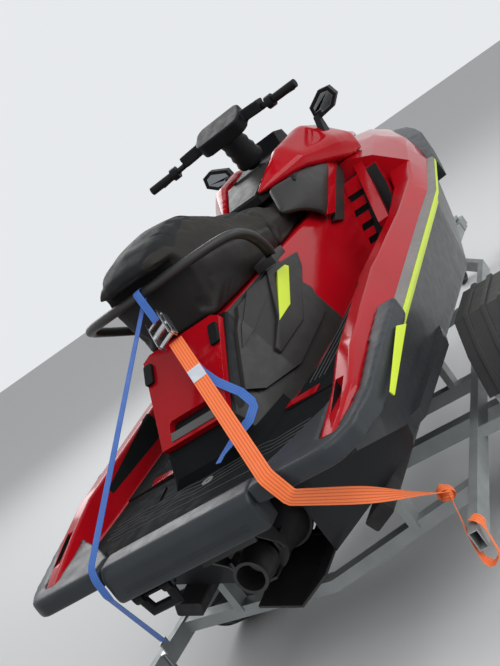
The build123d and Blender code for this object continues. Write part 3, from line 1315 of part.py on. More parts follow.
def step_ears():
    """Brackets under the stern bumper for the boarding step's pin."""
    ears = [block(STEP_X - 14, STEP_X + 14, STEP_Y + side * (STEP_HALF + 22) - 5,
                  STEP_Y + side * (STEP_HALF + 22) + 5, STEP_Z - 12, 374) for side in (-1, 1)]
    hole = rod((STEP_X, 0, STEP_Z), (STEP_X, 400, STEP_Z), STEP_PIN + SHAFT_CLEARANCE)
    return one([one(ear.cut(hole)) for ear in ears])


# Straps: x, y, z along each run and the normal of its flat side
WEB_THICKNESS = 2.4
WEB_BEAD = 0.3
ORANGE_WIDTH = 46.0
BLUE_WIDTH = 27.0
ORANGE_RUN = (((522, -50, 826), (-0.5, -0.25, 0.83)), ((-30, -350, 502), (-0.75, -0.2, 0.6)),
              ((-40, -378, 430), (-0.95, -0.3, 0)), ((426, -508, 62), (-0.6, -0.5, 0.6)))
BLUE_RUN = (((556, -18, 900), (-0.7, 0, 0.7)), ((584, -3, 1006), (-0.7, 0, 0.7)),
            ((622, 4, 1006), (0, 0, 1)), ((640, 8, 986), (1, 0, 0)), ((614, 14, 964), (0, 0, -1)),
            ((-15, 272, 505), (-0.6, 0, 0.8)), ((-31, 272, 474), (-1, 0, 0.3)), ((-31, 275, 412), (-1, 0, 0)),
            ((316, 530, 72), (-0.6, 0.3, -0.7)))
LOOP_WIDTH = 30.0
LOOP_RUN = (((404, -520, 52), (0, 1, 0.3)), ((262, -562, 10), (0.2, 1, 0.2)),
            ((200, -582, -46), (0.3, 1, 0)), ((186, -602, -66), (0, 0, -1)), ((190, -632, -46), (0, -1, -0.5)),
            ((214, -630, 22), (0.3, -1, 0)), ((236, -622, 43), (0, -0.4, 1)), ((254, -598, 47), (0, 0, 1)))
TAIL_RUN = (((522, -48, 790), (-0.6, 0, 0.8)), ((450, -105, 690), (-0.6, -0.2, 0.8)),
            ((402, -206, 594), (-0.7, -0.4, 0.6)), ((366, -212, 552), (-0.9, -0.4, 0)),
            ((300, -97, 519), (-0.5, 0.3, 0.8)), ((258, -78, 507), (0, 0, 1)))


def ribbon(run, width):
    """Flat webbing along a run of points, each with the normal of the webbing's flat side there."""
    pieces = []
    for (start, normal), (end, _) in zip(run, run[1:]):
        start = Vector(*start)
        way = Vector(*end) - start
        across = way.cross(Vector(*normal))
        frame = Plane(origin=start, x_dir=across, z_dir=way)
        pieces.append(extrude(frame * Rectangle(width, WEB_THICKNESS), way.length).solid())
        half = across.normalized() * (width / 2)
        pieces.append(rod(tuple(start - half), tuple(start + half), WEB_THICKNESS / 2 + WEB_BEAD))
    return fuse(*pieces)


def orange_strap():
    """Orange strap from the ratchet over the starboard corner to a knot round the rail's end."""
    knot = block(392, 456, -552, -486, 38, 92)
    return largest(fuse(ribbon(ORANGE_RUN, ORANGE_WIDTH), knot, ribbon(LOOP_RUN, LOOP_WIDTH)))


def ratchet():
    """Ratchet buckle: two side plates, a cross shaft, a spool and the folded handle."""
    centre = Vector(548, -26, 862)
    out = Vector(-0.64, 0.12, 0.76).normalized()
    run = Vector(0.45, 0.30, 0.58)
    across = run.cross(out).normalized()
    along = out.cross(across).normalized()
    frame = Plane(origin=centre, x_dir=across, z_dir=out)
    plates = [extrude(frame * Pos(side * 29, 0) * Rectangle(3, 118), 34, both=False).solid() for side in (-1, 1)]
    shafts = [rod(tuple(centre + along * shift + out * 14 - across * 33),
                  tuple(centre + along * shift + out * 14 + across * 33), radius)
              for shift, radius in ((-48, 6), (0, 11), (48, 6))]
    handle = [extrude(frame * Pos(side * 35, -8) * Rectangle(3, 96), 22).solid() for side in (-1, 1)]
    bridge = rod(tuple(centre - along * 52 + out * 14 - across * 36),
                 tuple(centre - along * 52 + out * 14 + across * 36), 5)
    return fuse(*plates, *shafts, *handle, bridge)


def strap_hook():
    """Bent wire hook of the blue strap, over the port rail's inner edge."""
    frame = [block(300, 345, 538, 543, 34, 74), block(300, 345, 538, 568, 34, 40)]
    hook = [block(314, 331, 552, 568, 30, 38), block(314, 331, 562, 568, -44, 36)]
    return fuse(*frame, *hook)


NODES = {}


def place(name, shape, location):
    """Keep a named piece in the row frame."""
    NODES[name] = one(shape).moved(location)


def craft_pieces():
    """Every piece of the watercraft."""
    hull_solid = hull()
    deck_solid = deck()
    console_solid = console()
    place("hull", hull_solid, CRAFT)
    place("deck", deck_solid, CRAFT)
    for side, solid in zip(("right", "left"), both_sides(corner_bumper(hull_solid, deck_solid))):
        place(f"stern_bumper_{side}", solid, CRAFT)
    place("stern_bumper_centre", centre_bumper(), CRAFT)
    place("bow_bumper", largest(bow_bumper().cut(hull_solid, deck_solid, joint_filler())), CRAFT)
    for side, rail, stripe in zip(("right", "left"), rub_rail(), side_stripes()):
        place(f"rub_rail_{side}", fuse(rail, stripe), CRAFT)
    for name, solid in zip(("platform_mat", "footwell_mat_right", "footwell_mat_left"), mats()):
        place(name, solid, CRAFT)
    place("seat_passenger", seat(PASSENGER_SEAT), CRAFT)
    place("seat_rider", seat(RIDER_SEAT), CRAFT)
    place("cowl", cowl().cut(deck_solid), CRAFT)
    place("console", console_solid.cut(deck_solid), CRAFT)
    place("glovebox_lid", glovebox_lid(), CRAFT)
    place("steering_bar", steering_bar(), CRAFT)
    place("bar_pad", bar_pad(), CRAFT)
    for side, solid in zip(("right", "left"), grips()):
        place(f"grip_{side}", solid, CRAFT)
    for side, solid in zip(("right", "left"), both_sides(mirror())):
        place(f"mirror_{side}", solid, CRAFT)
    place("rear_hatch", rear_hatch(), CRAFT)
    place("hatch_handle", hatch_handle(), CRAFT)
    place("hatch_latches", hatch_latches(), CRAFT)
    place("grab_rail", grab_rail(), CRAFT)
    for side, panel, insert in zip(("right", "left"), both_sides(side_panel()), both_sides(side_inserts())):
        place(f"side_panel_{side}", fuse(panel, insert), CRAFT)
    place("hood", hood(), CRAFT)
    place("hood_hinge", hood_hinge(), CRAFT)
    place("pump_housing", pump_housing(), CRAFT)
    place("impeller", impeller(), CRAFT)
    place("steering_nozzle", steering_nozzle(), CRAFT)
    place("reverse_bucket", reverse_bucket(), CRAFT)
    place("boarding_step", boarding_step(), CRAFT)
    place("ride_plate", ride_plate(), CRAFT)
    place("intake_grate", intake_grate(), CRAFT)
    place("engine_block", engine_block(), CRAFT)
    place("strap_orange", orange_strap(), CRAFT)
    place("strap_blue", ribbon(BLUE_RUN, BLUE_WIDTH), CRAFT)
    place("strap_tail", ribbon(TAIL_RUN, BLUE_WIDTH), CRAFT)
    place("strap_ratchet", ratchet(), CRAFT)
    place("strap_hook", strap_hook(), CRAFT)
    return hull_solid


def trailer_pieces(hull_solid):
    """Every piece of the trailer."""
    frame = fuse(*both_sides(side_rail()), rising_crossmember(*REAR_CROSS), drawbar(),
                 level_crossmember(LEVEL_CROSS_X), rising_crossmember(*FRONT_CROSS), *bunk_posts(),
                 *front_posts(hull_solid), *guard_stays())
    place("trailer_frame", frame, TRAILER)
    place("axle", axle(), TRAILER)
    for side, name in ((-1, "right"), (1, "left")):
        place(f"tyre_{name}", tyre(side), TRAILER)
        place(f"rim_{name}", rim(side), TRAILER)
        place(f"mudguard_{name}", mudguard(side), TRAILER)
    for side, solid in zip(("right", "left"), both_sides(bunk())):
        place(f"bunk_{side}", solid, TRAILER)
    place("winch_post", winch_post(), TRAILER)
    place("winch_drum", winch_drum(), TRAILER)
    place("bow_stop", bow_stop(), TRAILER)
    place("coupling", coupling(), TRAILER)
    place("jockey_tube", jockey_tube(), TRAILER)
    place("jockey_fork", jockey_fork(), TRAILER)
    place("jockey_wheel", jockey_wheel(), TRAILER)


trailer_pieces(craft_pieces())
os.makedirs("parts", exist_ok=True)
for node_name, node_solid in NODES.items():
    export_step(node_solid, f"parts/{node_name}.step")
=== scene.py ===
"""Looks of a three-seat runabout watercraft strapped on its trailer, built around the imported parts."""

import json
import logging
import math
from collections.abc import Callable
from dataclasses import dataclass
from enum import Enum

import bmesh
import bpy
from mathutils import Matrix, Vector
from mathutils.bvhtree import BVHTree


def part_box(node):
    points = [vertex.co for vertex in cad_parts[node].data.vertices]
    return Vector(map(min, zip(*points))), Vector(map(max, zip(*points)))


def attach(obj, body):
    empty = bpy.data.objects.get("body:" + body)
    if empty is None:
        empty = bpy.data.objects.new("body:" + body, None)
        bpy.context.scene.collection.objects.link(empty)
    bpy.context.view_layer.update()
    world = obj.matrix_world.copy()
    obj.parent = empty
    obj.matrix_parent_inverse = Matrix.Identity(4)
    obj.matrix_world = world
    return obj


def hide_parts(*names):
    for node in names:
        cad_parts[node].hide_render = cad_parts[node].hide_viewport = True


LOG = logging.getLogger("runabout")

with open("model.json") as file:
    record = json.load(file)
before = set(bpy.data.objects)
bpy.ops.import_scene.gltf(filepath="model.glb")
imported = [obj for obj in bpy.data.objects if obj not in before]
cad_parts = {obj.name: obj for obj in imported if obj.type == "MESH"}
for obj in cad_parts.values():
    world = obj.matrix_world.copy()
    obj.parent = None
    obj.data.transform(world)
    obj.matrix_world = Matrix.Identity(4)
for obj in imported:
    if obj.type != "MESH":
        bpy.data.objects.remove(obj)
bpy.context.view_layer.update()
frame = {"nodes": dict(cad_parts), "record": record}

Row = tuple[float, ...]

ROOT_BODY = "craft"
# Stern and keel line of the craft in the shared frame, in metres
STERN_X = -2.1865
KEEL_HEIGHT = 0.33
UP = Vector((0, 0, 1))
HANDS = ((-1, "right"), (1, "left"))
# Past every limit of the craft, in millimetres
FAR = 1e5
MERGE_REACH = 1e-5
# Least share of a face's direction that lies the way it is said to face
FACING = 0.9
# Share of the way to its neighbours' middle that a round of smoothing moves a point
SMOOTHING_STEP = 0.5
# Decimals that tell the rows of a grid apart
ROW_DIGITS = 6
# Angles in degrees
FLAT_LIMIT = 0.4
CREASE = 30.0
ALL_SMOOTH = 180.0
# Most of a stretch of webbing that one bend may take
LONGEST_BEND = 0.35
# Spacing of a wave texture's bands at a scale of 1
WAVE_LENGTH = math.tau / 20
COAT_ROUGHNESS = 0.06
BUMP_STRENGTH = 0.8
ROUGHNESS_RANGE = (0.85, 1.15)
STRIPE_EDGES = (0.05, 0.35)
# Seams: share of their width that they reach, and least slope of the top that they press
SEAM_REACH = 2.5
SEAM_SLOPE = 0.15
# Grain: length of a weave's cell in widths, and octaves of the noise
WEAVE_STRETCH = 1.6
CARPET_DETAIL = 6.0
PLAIN_DETAIL = 2.0
# Patches of roughness against those of colour
ROUGHNESS_DRIFT = 0.2
NORMAL_WEIGHT = 80
# Heights in craft millimetres: where a point is dropped from, and where it is sought beside a mat
DROP_HEIGHT = 1500.0
FLOOR_HEIGHT = 480.0
# Slabs and plates: least angle in degrees of a bevelled and of a sharp edge, and a plate's bevel
SLAB_BEVELLED = 50.0
SLAB_SHARP = 40.0
PLATE_EDGE = 0.002
# Wall and bevel of a thin moulding in metres
BAND_WALL = 0.003
BAND_EDGE = 0.001


class Grain(Enum):
    """Kinds of relief that a surface can carry."""

    SMOOTH = "smooth"
    PEBBLE = "pebble"
    LEATHER = "leather"
    CAST = "cast"
    SPANGLE = "spangle"
    WEAVE = "weave"
    CARPET = "carpet"


class Tree:
    """Short ways to add and join the nodes of one material or world."""

    def __init__(self, owner: bpy.types.Material | bpy.types.World) -> None:
        """Start from the owner's own node tree, emptied.

        Args:
            owner: Material or world whose nodes are made anew.
        """
        owner.use_nodes = True
        self.tree = owner.node_tree
        self.tree.nodes.clear()
        self.place: bpy.types.NodeSocket | None = None

    def follow(self, coordinates: str) -> None:
        """Let the patterns that come next follow the Object or UV coordinates."""
        self.place = self.add("ShaderNodeTexCoord").outputs[coordinates]

    def add(self, kind: str, **inputs: object) -> bpy.types.Node:
        """Add a node and fill its sockets.

        Args:
            kind: Blender's name for the node.
            **inputs: Socket names, with _ for a space, and a value or a socket to join.

        Returns:
            The new node.
        """
        node = self.tree.nodes.new(kind)
        for name, value in inputs.items():
            self.fill(node.inputs[name.replace("_", " ")], value)
        return node

    def fill(self, socket: bpy.types.NodeSocket, value: object) -> None:
        """Join a socket to another one, or write its value.

        Args:
            socket: Input to fill.
            value: Output socket or plain value.
        """
        if isinstance(value, bpy.types.NodeSocket):
            self.tree.links.new(value, socket)
        else:
            socket.default_value = value

    def noise(self, size: float, detail: float = 3.0) -> bpy.types.NodeSocket:
        """Cloudy value from 0 to 1.

        Args:
            size: Width of a cloud in metres.
            detail: Octaves of smaller clouds.

        Returns:
            The noise's value socket.
        """
        node = self.add("ShaderNodeTexNoise", Vector=self.place, Scale=1 / size, Detail=detail)
        return node.outputs["Fac"]

    def cells(self, size: float, feature: str = "F1") -> bpy.types.NodeSocket:
        """Distance pattern of packed cells.

        Args:
            size: Width of a cell in metres.
            feature: Voronoi feature to read.

        Returns:
            The pattern's distance socket.
        """
        node = self.add("ShaderNodeTexVoronoi", Vector=self.place, Scale=1 / size)
        node.feature = feature
        return node.outputs["Distance"]

    def waves(self, size: float, direction: str) -> bpy.types.NodeSocket:
        """Parallel bands across one direction.

        Args:
            size: Spacing of the bands in metres.
            direction: X, Y, Z or DIAGONAL.

        Returns:
            The bands' value socket.
        """
        node = self.add("ShaderNodeTexWave", Vector=self.place, Scale=WAVE_LENGTH / size)
        node.bands_direction = direction
        return node.outputs["Fac"]

    def ranged(self, value: bpy.types.NodeSocket, low: float, high: float,
               start: float = 0.3, end: float = 0.7) -> bpy.types.NodeSocket:
        """Value drawn between two limits.

        Args:
            value: Socket to draw.
            low: Result where the value is at start.
            high: Result where the value is at end.
            start: Lower end of the value.
            end: Upper end of the value.

        Returns:
            The drawn value's socket.
        """
        node = self.add("ShaderNodeMapRange", Value=value, From_Min=start, From_Max=end, To_Min=low,
                        To_Max=high)
        return node.outputs["Result"]

    def mixed(self, share: bpy.types.NodeSocket, first: object, second: object) -> bpy.types.NodeSocket:
        """Two colours mixed by a share.

        Args:
            share: Socket from 0 to 1.
            first: Colour or socket at 0.
            second: Colour or socket at 1.

        Returns:
            The mixed colour's socket.
        """
        node = self.tree.nodes.new("ShaderNodeMix")
        node.data_type = "RGBA"
        self.fill(node.inputs[0], share)
        self.fill(node.inputs[6], first)
        self.fill(node.inputs[7], second)
        return node.outputs[2]

    def maths(self, operation: str, first: object, second: object) -> bpy.types.NodeSocket:
        """Result of a sum on two values.

        Args:
            operation: Blender's name for the sum.
            first: First socket or number.
            second: Second socket or number.

        Returns:
            The result's socket.
        """
        node = self.tree.nodes.new("ShaderNodeMath")
        node.operation = operation
        self.fill(node.inputs[0], first)
        self.fill(node.inputs[1], second)
        return node.outputs[0]

    def close(self, shader: bpy.types.Node, kind: str = "Material") -> None:
        """Join a shader to the output of the tree's owner, a Material or a World."""
        self.add(f"ShaderNodeOutput{kind}", Surface=shader.outputs[0])

    def relief(self, grain: Grain, size: float) -> bpy.types.NodeSocket | None:
        """Height pattern of a grain.

        Args:
            grain: Kind of relief.
            size: Spacing of its features in metres.

        Returns:
            The height socket, or None on a smooth surface.
        """
        if grain is Grain.SMOOTH:
            return None
        if grain is Grain.LEATHER:
            return self.cells(size, "DISTANCE_TO_EDGE")
        if grain is Grain.SPANGLE:
            return self.cells(size)
        if grain is Grain.WEAVE:
            self.follow("UV")
            return self.maths("MULTIPLY", self.waves(size * WEAVE_STRETCH, "Y"),
                              self.waves(size, "DIAGONAL"))
        return self.noise(size, CARPET_DETAIL if grain is Grain.CARPET else PLAIN_DETAIL)


@dataclass(frozen=True)
class Finish:
    """One surface finish, made into a material once.

    Colours are linear. Grain size, depth, drift and stripes are metres, and drift is the size of the
    patches where the colour turns to its shade.
    """

    name: str
    slot: str
    colour: tuple[float, float, float]
    shade: tuple[float, float, float]
    roughness: float
    grain: Grain = Grain.SMOOTH
    grain_size: float = 0.001
    depth: float = 0.0
    metallic: float = 0.0
    coat: float = 0.0
    sheen: float = 0.0
    drift: float = 0.2
    gloss: float = 0.5
    stripes: float = 0.0

    def material(self) -> bpy.types.Material:
        """The finish's material, made on first use.

        Returns:
            A node material in object coordinates, or in UV where it is woven.
        """
        made = bpy.data.materials.get(self.name)
        if made is not None:
            return made
        made = bpy.data.materials.new(self.name)
        tree = Tree(made)
        if self.stripes:
            tree.follow("UV")
            share = tree.ranged(tree.waves(self.stripes, "X"), 1.0, 0.0, *STRIPE_EDGES)
        else:
            tree.follow("Object")
            share = tree.ranged(tree.noise(self.drift), 0.0, 1.0)
        low, high = (self.roughness * factor for factor in ROUGHNESS_RANGE)
        rough = tree.ranged(tree.noise(self.drift * ROUGHNESS_DRIFT), low, high)
        height = tree.relief(self.grain, self.grain_size)
        shader = tree.add("ShaderNodeBsdfPrincipled",
                          Base_Color=tree.mixed(share, (*self.colour, 1), (*self.shade, 1)),
                          Roughness=rough, Metallic=self.metallic, Coat_Weight=self.coat,
                          Coat_Roughness=COAT_ROUGHNESS, Sheen_Weight=self.sheen,
                          Specular_IOR_Level=self.gloss)
        if height is not None:
            bump = tree.add("ShaderNodeBump", Height=height, Distance=self.depth, Strength=BUMP_STRENGTH)
            tree.fill(shader.inputs["Normal"], bump.outputs["Normal"])
        tree.close(shader)
        return made

    def dress(self, *pieces: bpy.types.Object) -> None:
        """Put the finish on pieces.

        Args:
            *pieces: Objects whose material slots it fills.
        """
        for piece in pieces:
            piece.data.materials.clear()
            piece.data.materials.append(self.material())


HULL_GEL = Finish("hull_gel", "hull_grey", (0.022, 0.024, 0.027), (0.030, 0.032, 0.035), 0.32, coat=0.1,
                  gloss=0.15)
RED_GEL = Finish("red_gel", "deck_red", (0.32, 0.0028, 0.007), (0.37, 0.0038, 0.010), 0.12, coat=0.03,
                 drift=0.5, gloss=0.14)
RUBBER = Finish("bumper_rubber", "bumper_black", (0.022, 0.026, 0.030), (0.028, 0.032, 0.037), 0.40,
                Grain.PEBBLE, 0.0012, 0.00008, gloss=0.25)
RAIL_RUBBER = Finish("rub_rail_rubber", "bumper_black", (0.16, 0.155, 0.15), (0.20, 0.195, 0.19), 0.5,
                     Grain.PEBBLE, 0.0012, 0.0001)
MAT = Finish("traction_mat", "mat_black", (0.0085, 0.0100, 0.0105), (0.0115, 0.0130, 0.0140), 0.75,
             Grain.PEBBLE, 0.0035, 0.0003, gloss=0.03)
GROOVE = Finish("mat_groove", "mat_black", (0.055, 0.060, 0.063), (0.075, 0.080, 0.083), 0.7,
                Grain.PEBBLE, 0.002, 0.0001, gloss=0.1)
PLASTIC = Finish("moulded_plastic", "trim_black", (0.0065, 0.007, 0.008), (0.0095, 0.010, 0.011), 0.45,
                 Grain.PEBBLE, 0.001, 0.0001, gloss=0.12)
PANEL = Finish("panel_plastic", "panel_grey", (0.022, 0.0222, 0.0215), (0.028, 0.028, 0.027), 0.4,
               Grain.PEBBLE, 0.001, 0.00006, gloss=0.18)
SEAT_TOP = Finish("seat_top_vinyl", "seat_vinyl", (0.0105, 0.0115, 0.012), (0.014, 0.015, 0.0155), 0.62,
                  Grain.LEATHER, 0.003, 0.0002, gloss=0.12)
SEAT_SIDE = Finish("seat_side_vinyl", "seat_vinyl", (0.026, 0.0245, 0.022), (0.033, 0.031, 0.028), 0.6,
                   Grain.LEATHER, 0.002, 0.0002, gloss=0.05)
SEAT_BASE = Finish("seat_base_plastic", "seat_vinyl", (0.010, 0.009, 0.008), (0.014, 0.013, 0.012), 0.5,
                   Grain.PEBBLE, 0.001, 0.0001, gloss=0.2)
GRIP = Finish("grip_moulding", "grip_rubber", (0.006, 0.006, 0.007), (0.010, 0.010, 0.011), 0.6,
              Grain.PEBBLE, 0.002, 0.0003, gloss=0.15)
LIME = Finish("lime_paint", "panel_grey", (0.56, 0.72, 0.012), (0.60, 0.76, 0.02), 0.35,
              Grain.PEBBLE, 0.001, 0.00005)
HANDRAIL = Finish("handrail_plastic", "rail_grey", (0.026, 0.026, 0.0255), (0.034, 0.0335, 0.033), 0.45,
                  Grain.PEBBLE, 0.001, 0.0001, gloss=0.3)
HANDLE = Finish("handle_plastic", "panel_grey", (0.075, 0.077, 0.074), (0.095, 0.097, 0.094), 0.5,
                Grain.PEBBLE, 0.001, 0.0001, gloss=0.3)
GLASS = Finish("mirror_glass", "trim_black", (0.20, 0.21, 0.22), (0.22, 0.23, 0.24), 0.08, metallic=0.9)
STEEL = Finish("satin_steel", "steel_satin", (0.50, 0.51, 0.52), (0.42, 0.43, 0.44), 0.3,
               Grain.CAST, 0.01, 0.0001, metallic=1.0)
ALLOY = Finish("cast_alloy", "pump_alloy", (0.030, 0.030, 0.031), (0.055, 0.055, 0.054), 0.5,
               Grain.CAST, 0.003, 0.0004, metallic=0.5)
ENGINE = Finish("engine_casting", "engine_cast", (0.16, 0.16, 0.16), (0.20, 0.20, 0.20), 0.55,
                Grain.CAST, 0.003, 0.0005, metallic=0.6)
ZINC = Finish("zinc_coat", "galvanised", (0.34, 0.36, 0.36), (0.24, 0.26, 0.265), 0.5,
              Grain.SPANGLE, 0.012, 0.0001, metallic=0.45)
TYRE = Finish("tyre_rubber", "tyre_black", (0.02, 0.02, 0.021), (0.03, 0.03, 0.03), 0.8,
              Grain.PEBBLE, 0.002, 0.0003)
CARPET = Finish("bunk_carpet", "bunk_grey", (0.02, 0.02, 0.021), (0.03, 0.03, 0.032), 0.95,
                Grain.CARPET, 0.002, 0.001)
GUARD = Finish("guard_moulding", "guard_plastic", (0.014, 0.014, 0.015), (0.02, 0.02, 0.022), 0.5,
               Grain.PEBBLE, 0.002, 0.0002)
ORANGE_WEB = Finish("orange_webbing", "strap_orange", (0.86, 0.18, 0.04), (0.56, 0.085, 0.018), 0.7,
                    Grain.WEAVE, 0.0022, 0.0006, sheen=0.1, stripes=0.0085)
BLUE_WEB = Finish("blue_webbing", "strap_blue", (0.045, 0.15, 0.50), (0.025, 0.09, 0.34), 0.7,
                  Grain.WEAVE, 0.0018, 0.0005, sheen=0.1, stripes=0.0065)
PATCH = Finish("sewn_patch", "strap_orange", (0.55, 0.58, 0.62), (0.45, 0.50, 0.58), 0.55, drift=0.03)

FINISH_OF_SLOT = {
    "hull_grey": HULL_GEL, "deck_red": RED_GEL, "trim_black": PLASTIC, "panel_grey": PANEL,
    "bumper_black": RUBBER, "mat_black": MAT, "seat_vinyl": SEAT_TOP, "grip_rubber": GRIP,
    "rail_grey": HANDRAIL, "steel_satin": STEEL, "pump_alloy": ALLOY, "galvanised": ZINC,
    "tyre_black": TYRE, "bunk_grey": CARPET, "guard_plastic": GUARD, "engine_cast": ENGINE,
    "strap_orange": ORANGE_WEB, "strap_blue": BLUE_WEB,
}


def linked(name: str, data: bpy.types.ID) -> bpy.types.Object:
    """Put a mesh, curve, lamp or camera into the scene.

    Args:
        name: Object's name.
        data: What it shows.

    Returns:
        The object.
    """
    made = bpy.data.objects.new(name, data)
    bpy.context.scene.collection.objects.link(made)
    return made


def aimed(place: Row, aim: Row, roll: float = 0.0) -> Matrix:
    """Placing of a lamp or camera that looks at a point.

    Args:
        place: Where it stands, in metres.
        aim: Point that it looks at.
        roll: Degrees that it is turned clockwise, seen from behind it.

    Returns:
        Its matrix.
    """
    way = Vector(aim) - Vector(place)
    turn = way.to_track_quat("-Z", "Y").to_matrix() @ Matrix.Rotation(-math.radians(roll), 3, "Z")
    return Matrix.Translation(place) @ turn.to_4x4()


@dataclass
class PhotoCamera:
    """Camera at the photograph's place, tilted as it was held."""

    place: Row = (-4.213, -1.576, 1.485)
    aim: Row = (-1.5749, -0.2191, 1.0392)
    roll: float = 36.81
    focal: float = 1003.5
    image_height: float = 666.0
    sensor: float = 24.0
    reach: float = 60.0

    def build(self) -> None:
        """Create the camera and make it the scene's."""
        data = bpy.data.cameras.new("photo_camera")
        data.sensor_fit = "VERTICAL"
        data.sensor_height = self.sensor
        data.lens = self.focal * self.sensor / self.image_height
        data.clip_end = self.reach
        camera = linked("photo_camera", data)
        camera.matrix_world = aimed(self.place, self.aim, self.roll)
        bpy.context.scene.camera = camera


@dataclass
class Studio:
    """Pale floor, plain soft light and a pale background."""

    floor_size: float = 40.0
    floor_colour: Row = (0.62, 0.63, 0.64)
    floor_roughness: float = 0.9
    background: Row = (0.80, 0.82, 0.84)
    ambient: float = 0.5
    lamp_aim: Row = (-0.6, 0.0, 0.6)
    # Name, place, side of its square in metres, and watts
    lamps: tuple[tuple[str, Row, float, float], ...] = (
        ("key", (-3.8, -3.2, 4.8), 5.0, 225.0), ("rear", (3.5, 3.5, 4.5), 4.0, 160.0),
        ("side", (1.0, -6.0, 3.0), 3.5, 140.0),
    )

    def build(self) -> None:
        """Make the floor, the world and the lamps."""
        bpy.context.scene.view_settings.view_transform = "Standard"
        self.floor()
        self.world()
        for lamp in self.lamps:
            self.lamp(*lamp)

    def floor(self) -> None:
        """Lay the floor under the tyres."""
        mesh = bpy.data.meshes.new("floor")
        bm = bmesh.new()
        bmesh.ops.create_grid(bm, x_segments=1, y_segments=1, size=self.floor_size / 2)
        bm.to_mesh(mesh)
        bm.free()
        floor = linked("floor", mesh)
        material = bpy.data.materials.new("studio_floor")
        tree = Tree(material)
        shader = tree.add("ShaderNodeBsdfPrincipled", Roughness=self.floor_roughness,
                          Base_Color=(*self.floor_colour, 1))
        tree.close(shader)
        mesh.materials.append(material)

    def world(self) -> None:
        """Light evenly, and show the camera and reflections the pale background."""
        world = bpy.data.worlds.new("studio")
        bpy.context.scene.world = world
        tree = Tree(world)
        light = tree.add("ShaderNodeBackground", Color=(1, 1, 1, 1), Strength=self.ambient)
        seen = tree.add("ShaderNodeBackground", Color=(*self.background, 1))
        path = tree.add("ShaderNodeLightPath").outputs
        direct = tree.maths("MAXIMUM", path["Is Camera Ray"], path["Is Transmission Ray"])
        mix = tree.add("ShaderNodeMixShader", Fac=tree.maths("MAXIMUM", direct, path["Is Glossy Ray"]))
        tree.fill(mix.inputs[1], light.outputs[0])
        tree.fill(mix.inputs[2], seen.outputs[0])
        tree.close(mix, "World")

    def lamp(self, name: str, place: Row, size: float, power: float) -> None:
        """Add a square soft lamp that points at the craft.

        Args:
            name: Lamp's name.
            place: Where it hangs, in metres.
            size: Side of its square.
            power: Watts.
        """
        data = bpy.data.lights.new(name, "AREA")
        data.size = size
        data.energy = power
        linked(name, data).matrix_world = aimed(place, self.lamp_aim)


def craft(x: float, y: float, z: float) -> Vector:
    """Place a point given in millimetres from the stern and the keel line.

    Args:
        x: Distance forward of the stern.
        y: Distance to port.
        z: Height over the keel line.

    Returns:
        The point in metres in the shared frame.
    """
    return Vector((x / 1000 + STERN_X, y / 1000, z / 1000 + KEEL_HEIGHT))


def craft_mm(spot: Vector) -> Vector:
    """Give a point of the shared frame in millimetres from the stern and the keel line."""
    return (spot - craft(0, 0, 0)) * 1000


def interpolate(table: tuple[Row, ...], x: float) -> float:
    """Read a table's second column between its rows.

    Args:
        table: Rows that start with x, in rising order.
        x: Where to read.

    Returns:
        The value, or that of the nearest end outside the table.
    """
    if x <= table[0][0]:
        return table[0][1]
    for low, high in zip(table, table[1:]):
        if x <= high[0]:
            return low[1] + (x - low[0]) / (high[0] - low[0]) * (high[1] - low[1])
    return table[-1][1]


def body_of(node: str) -> str:
    """Name of the body that a CAD node belongs to."""
    bodies = frame["record"]["behaviour"]["bodies"]
    return next(body for body, nodes in bodies.items() if node in nodes)


def box_of(node: str) -> tuple[Vector, Vector, Vector]:
    """Lowest corner, middle and highest corner of a CAD node."""
    low, high = (Vector(corner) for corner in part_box(node))
    return low, (low + high) / 2, high


def copied(node: str) -> bmesh.types.BMesh:
    """Copy a CAD mesh with its loose triangles joined into flat faces.

    Args:
        node: CAD node to copy.

    Returns:
        The joined mesh.
    """
    bm = bmesh.new()
    bm.from_mesh(frame["nodes"][node].data)
    bmesh.ops.remove_doubles(bm, verts=bm.verts, dist=MERGE_REACH)
    bmesh.ops.dissolve_degenerate(bm, edges=bm.edges, dist=MERGE_REACH)
    bmesh.ops.dissolve_limit(bm, angle_limit=math.radians(FLAT_LIMIT), use_dissolve_boundaries=False,
                             verts=bm.verts, edges=bm.edges, delimit=set())
    return bm


def creases(bm: bmesh.types.BMesh, limit: float) -> list[bmesh.types.BMEdge]:
    """Edges whose faces meet at more than an angle.

    Args:
        bm: Mesh to search.
        limit: Angle in degrees.

    Returns:
        The creased edges.
    """
    return [edge for edge in bm.edges if len(edge.link_faces) == 2
            and edge.calc_face_angle(0.0) > math.radians(limit)]


def rounded(bm: bmesh.types.BMesh, width: float, segments: int = 2, limit: float = CREASE) -> None:
    """Round a mesh's creases.

    Args:
        bm: Mesh to change.
        width: Width of the bevel in metres.
        segments: Faces across the bevel.
        limit: Least angle of a crease in degrees.
    """
    bmesh.ops.bevel(bm, geom=creases(bm, limit), offset=width, offset_type="OFFSET", segments=segments,
                    profile=0.5, affect="EDGES", clamp_overlap=True, material=-1)


def shaded(bm: bmesh.types.BMesh, limit: float = CREASE) -> None:
    """Shade a mesh smooth, apart from its creases.

    Args:
        bm: Mesh to change.
        limit: Least angle of a crease in degrees.
    """
    for face in bm.faces:
        face.smooth = True
    for edge in bm.edges:
        edge.smooth = len(edge.link_faces) == 2 and edge.calc_face_angle(0.0) <= math.radians(limit)


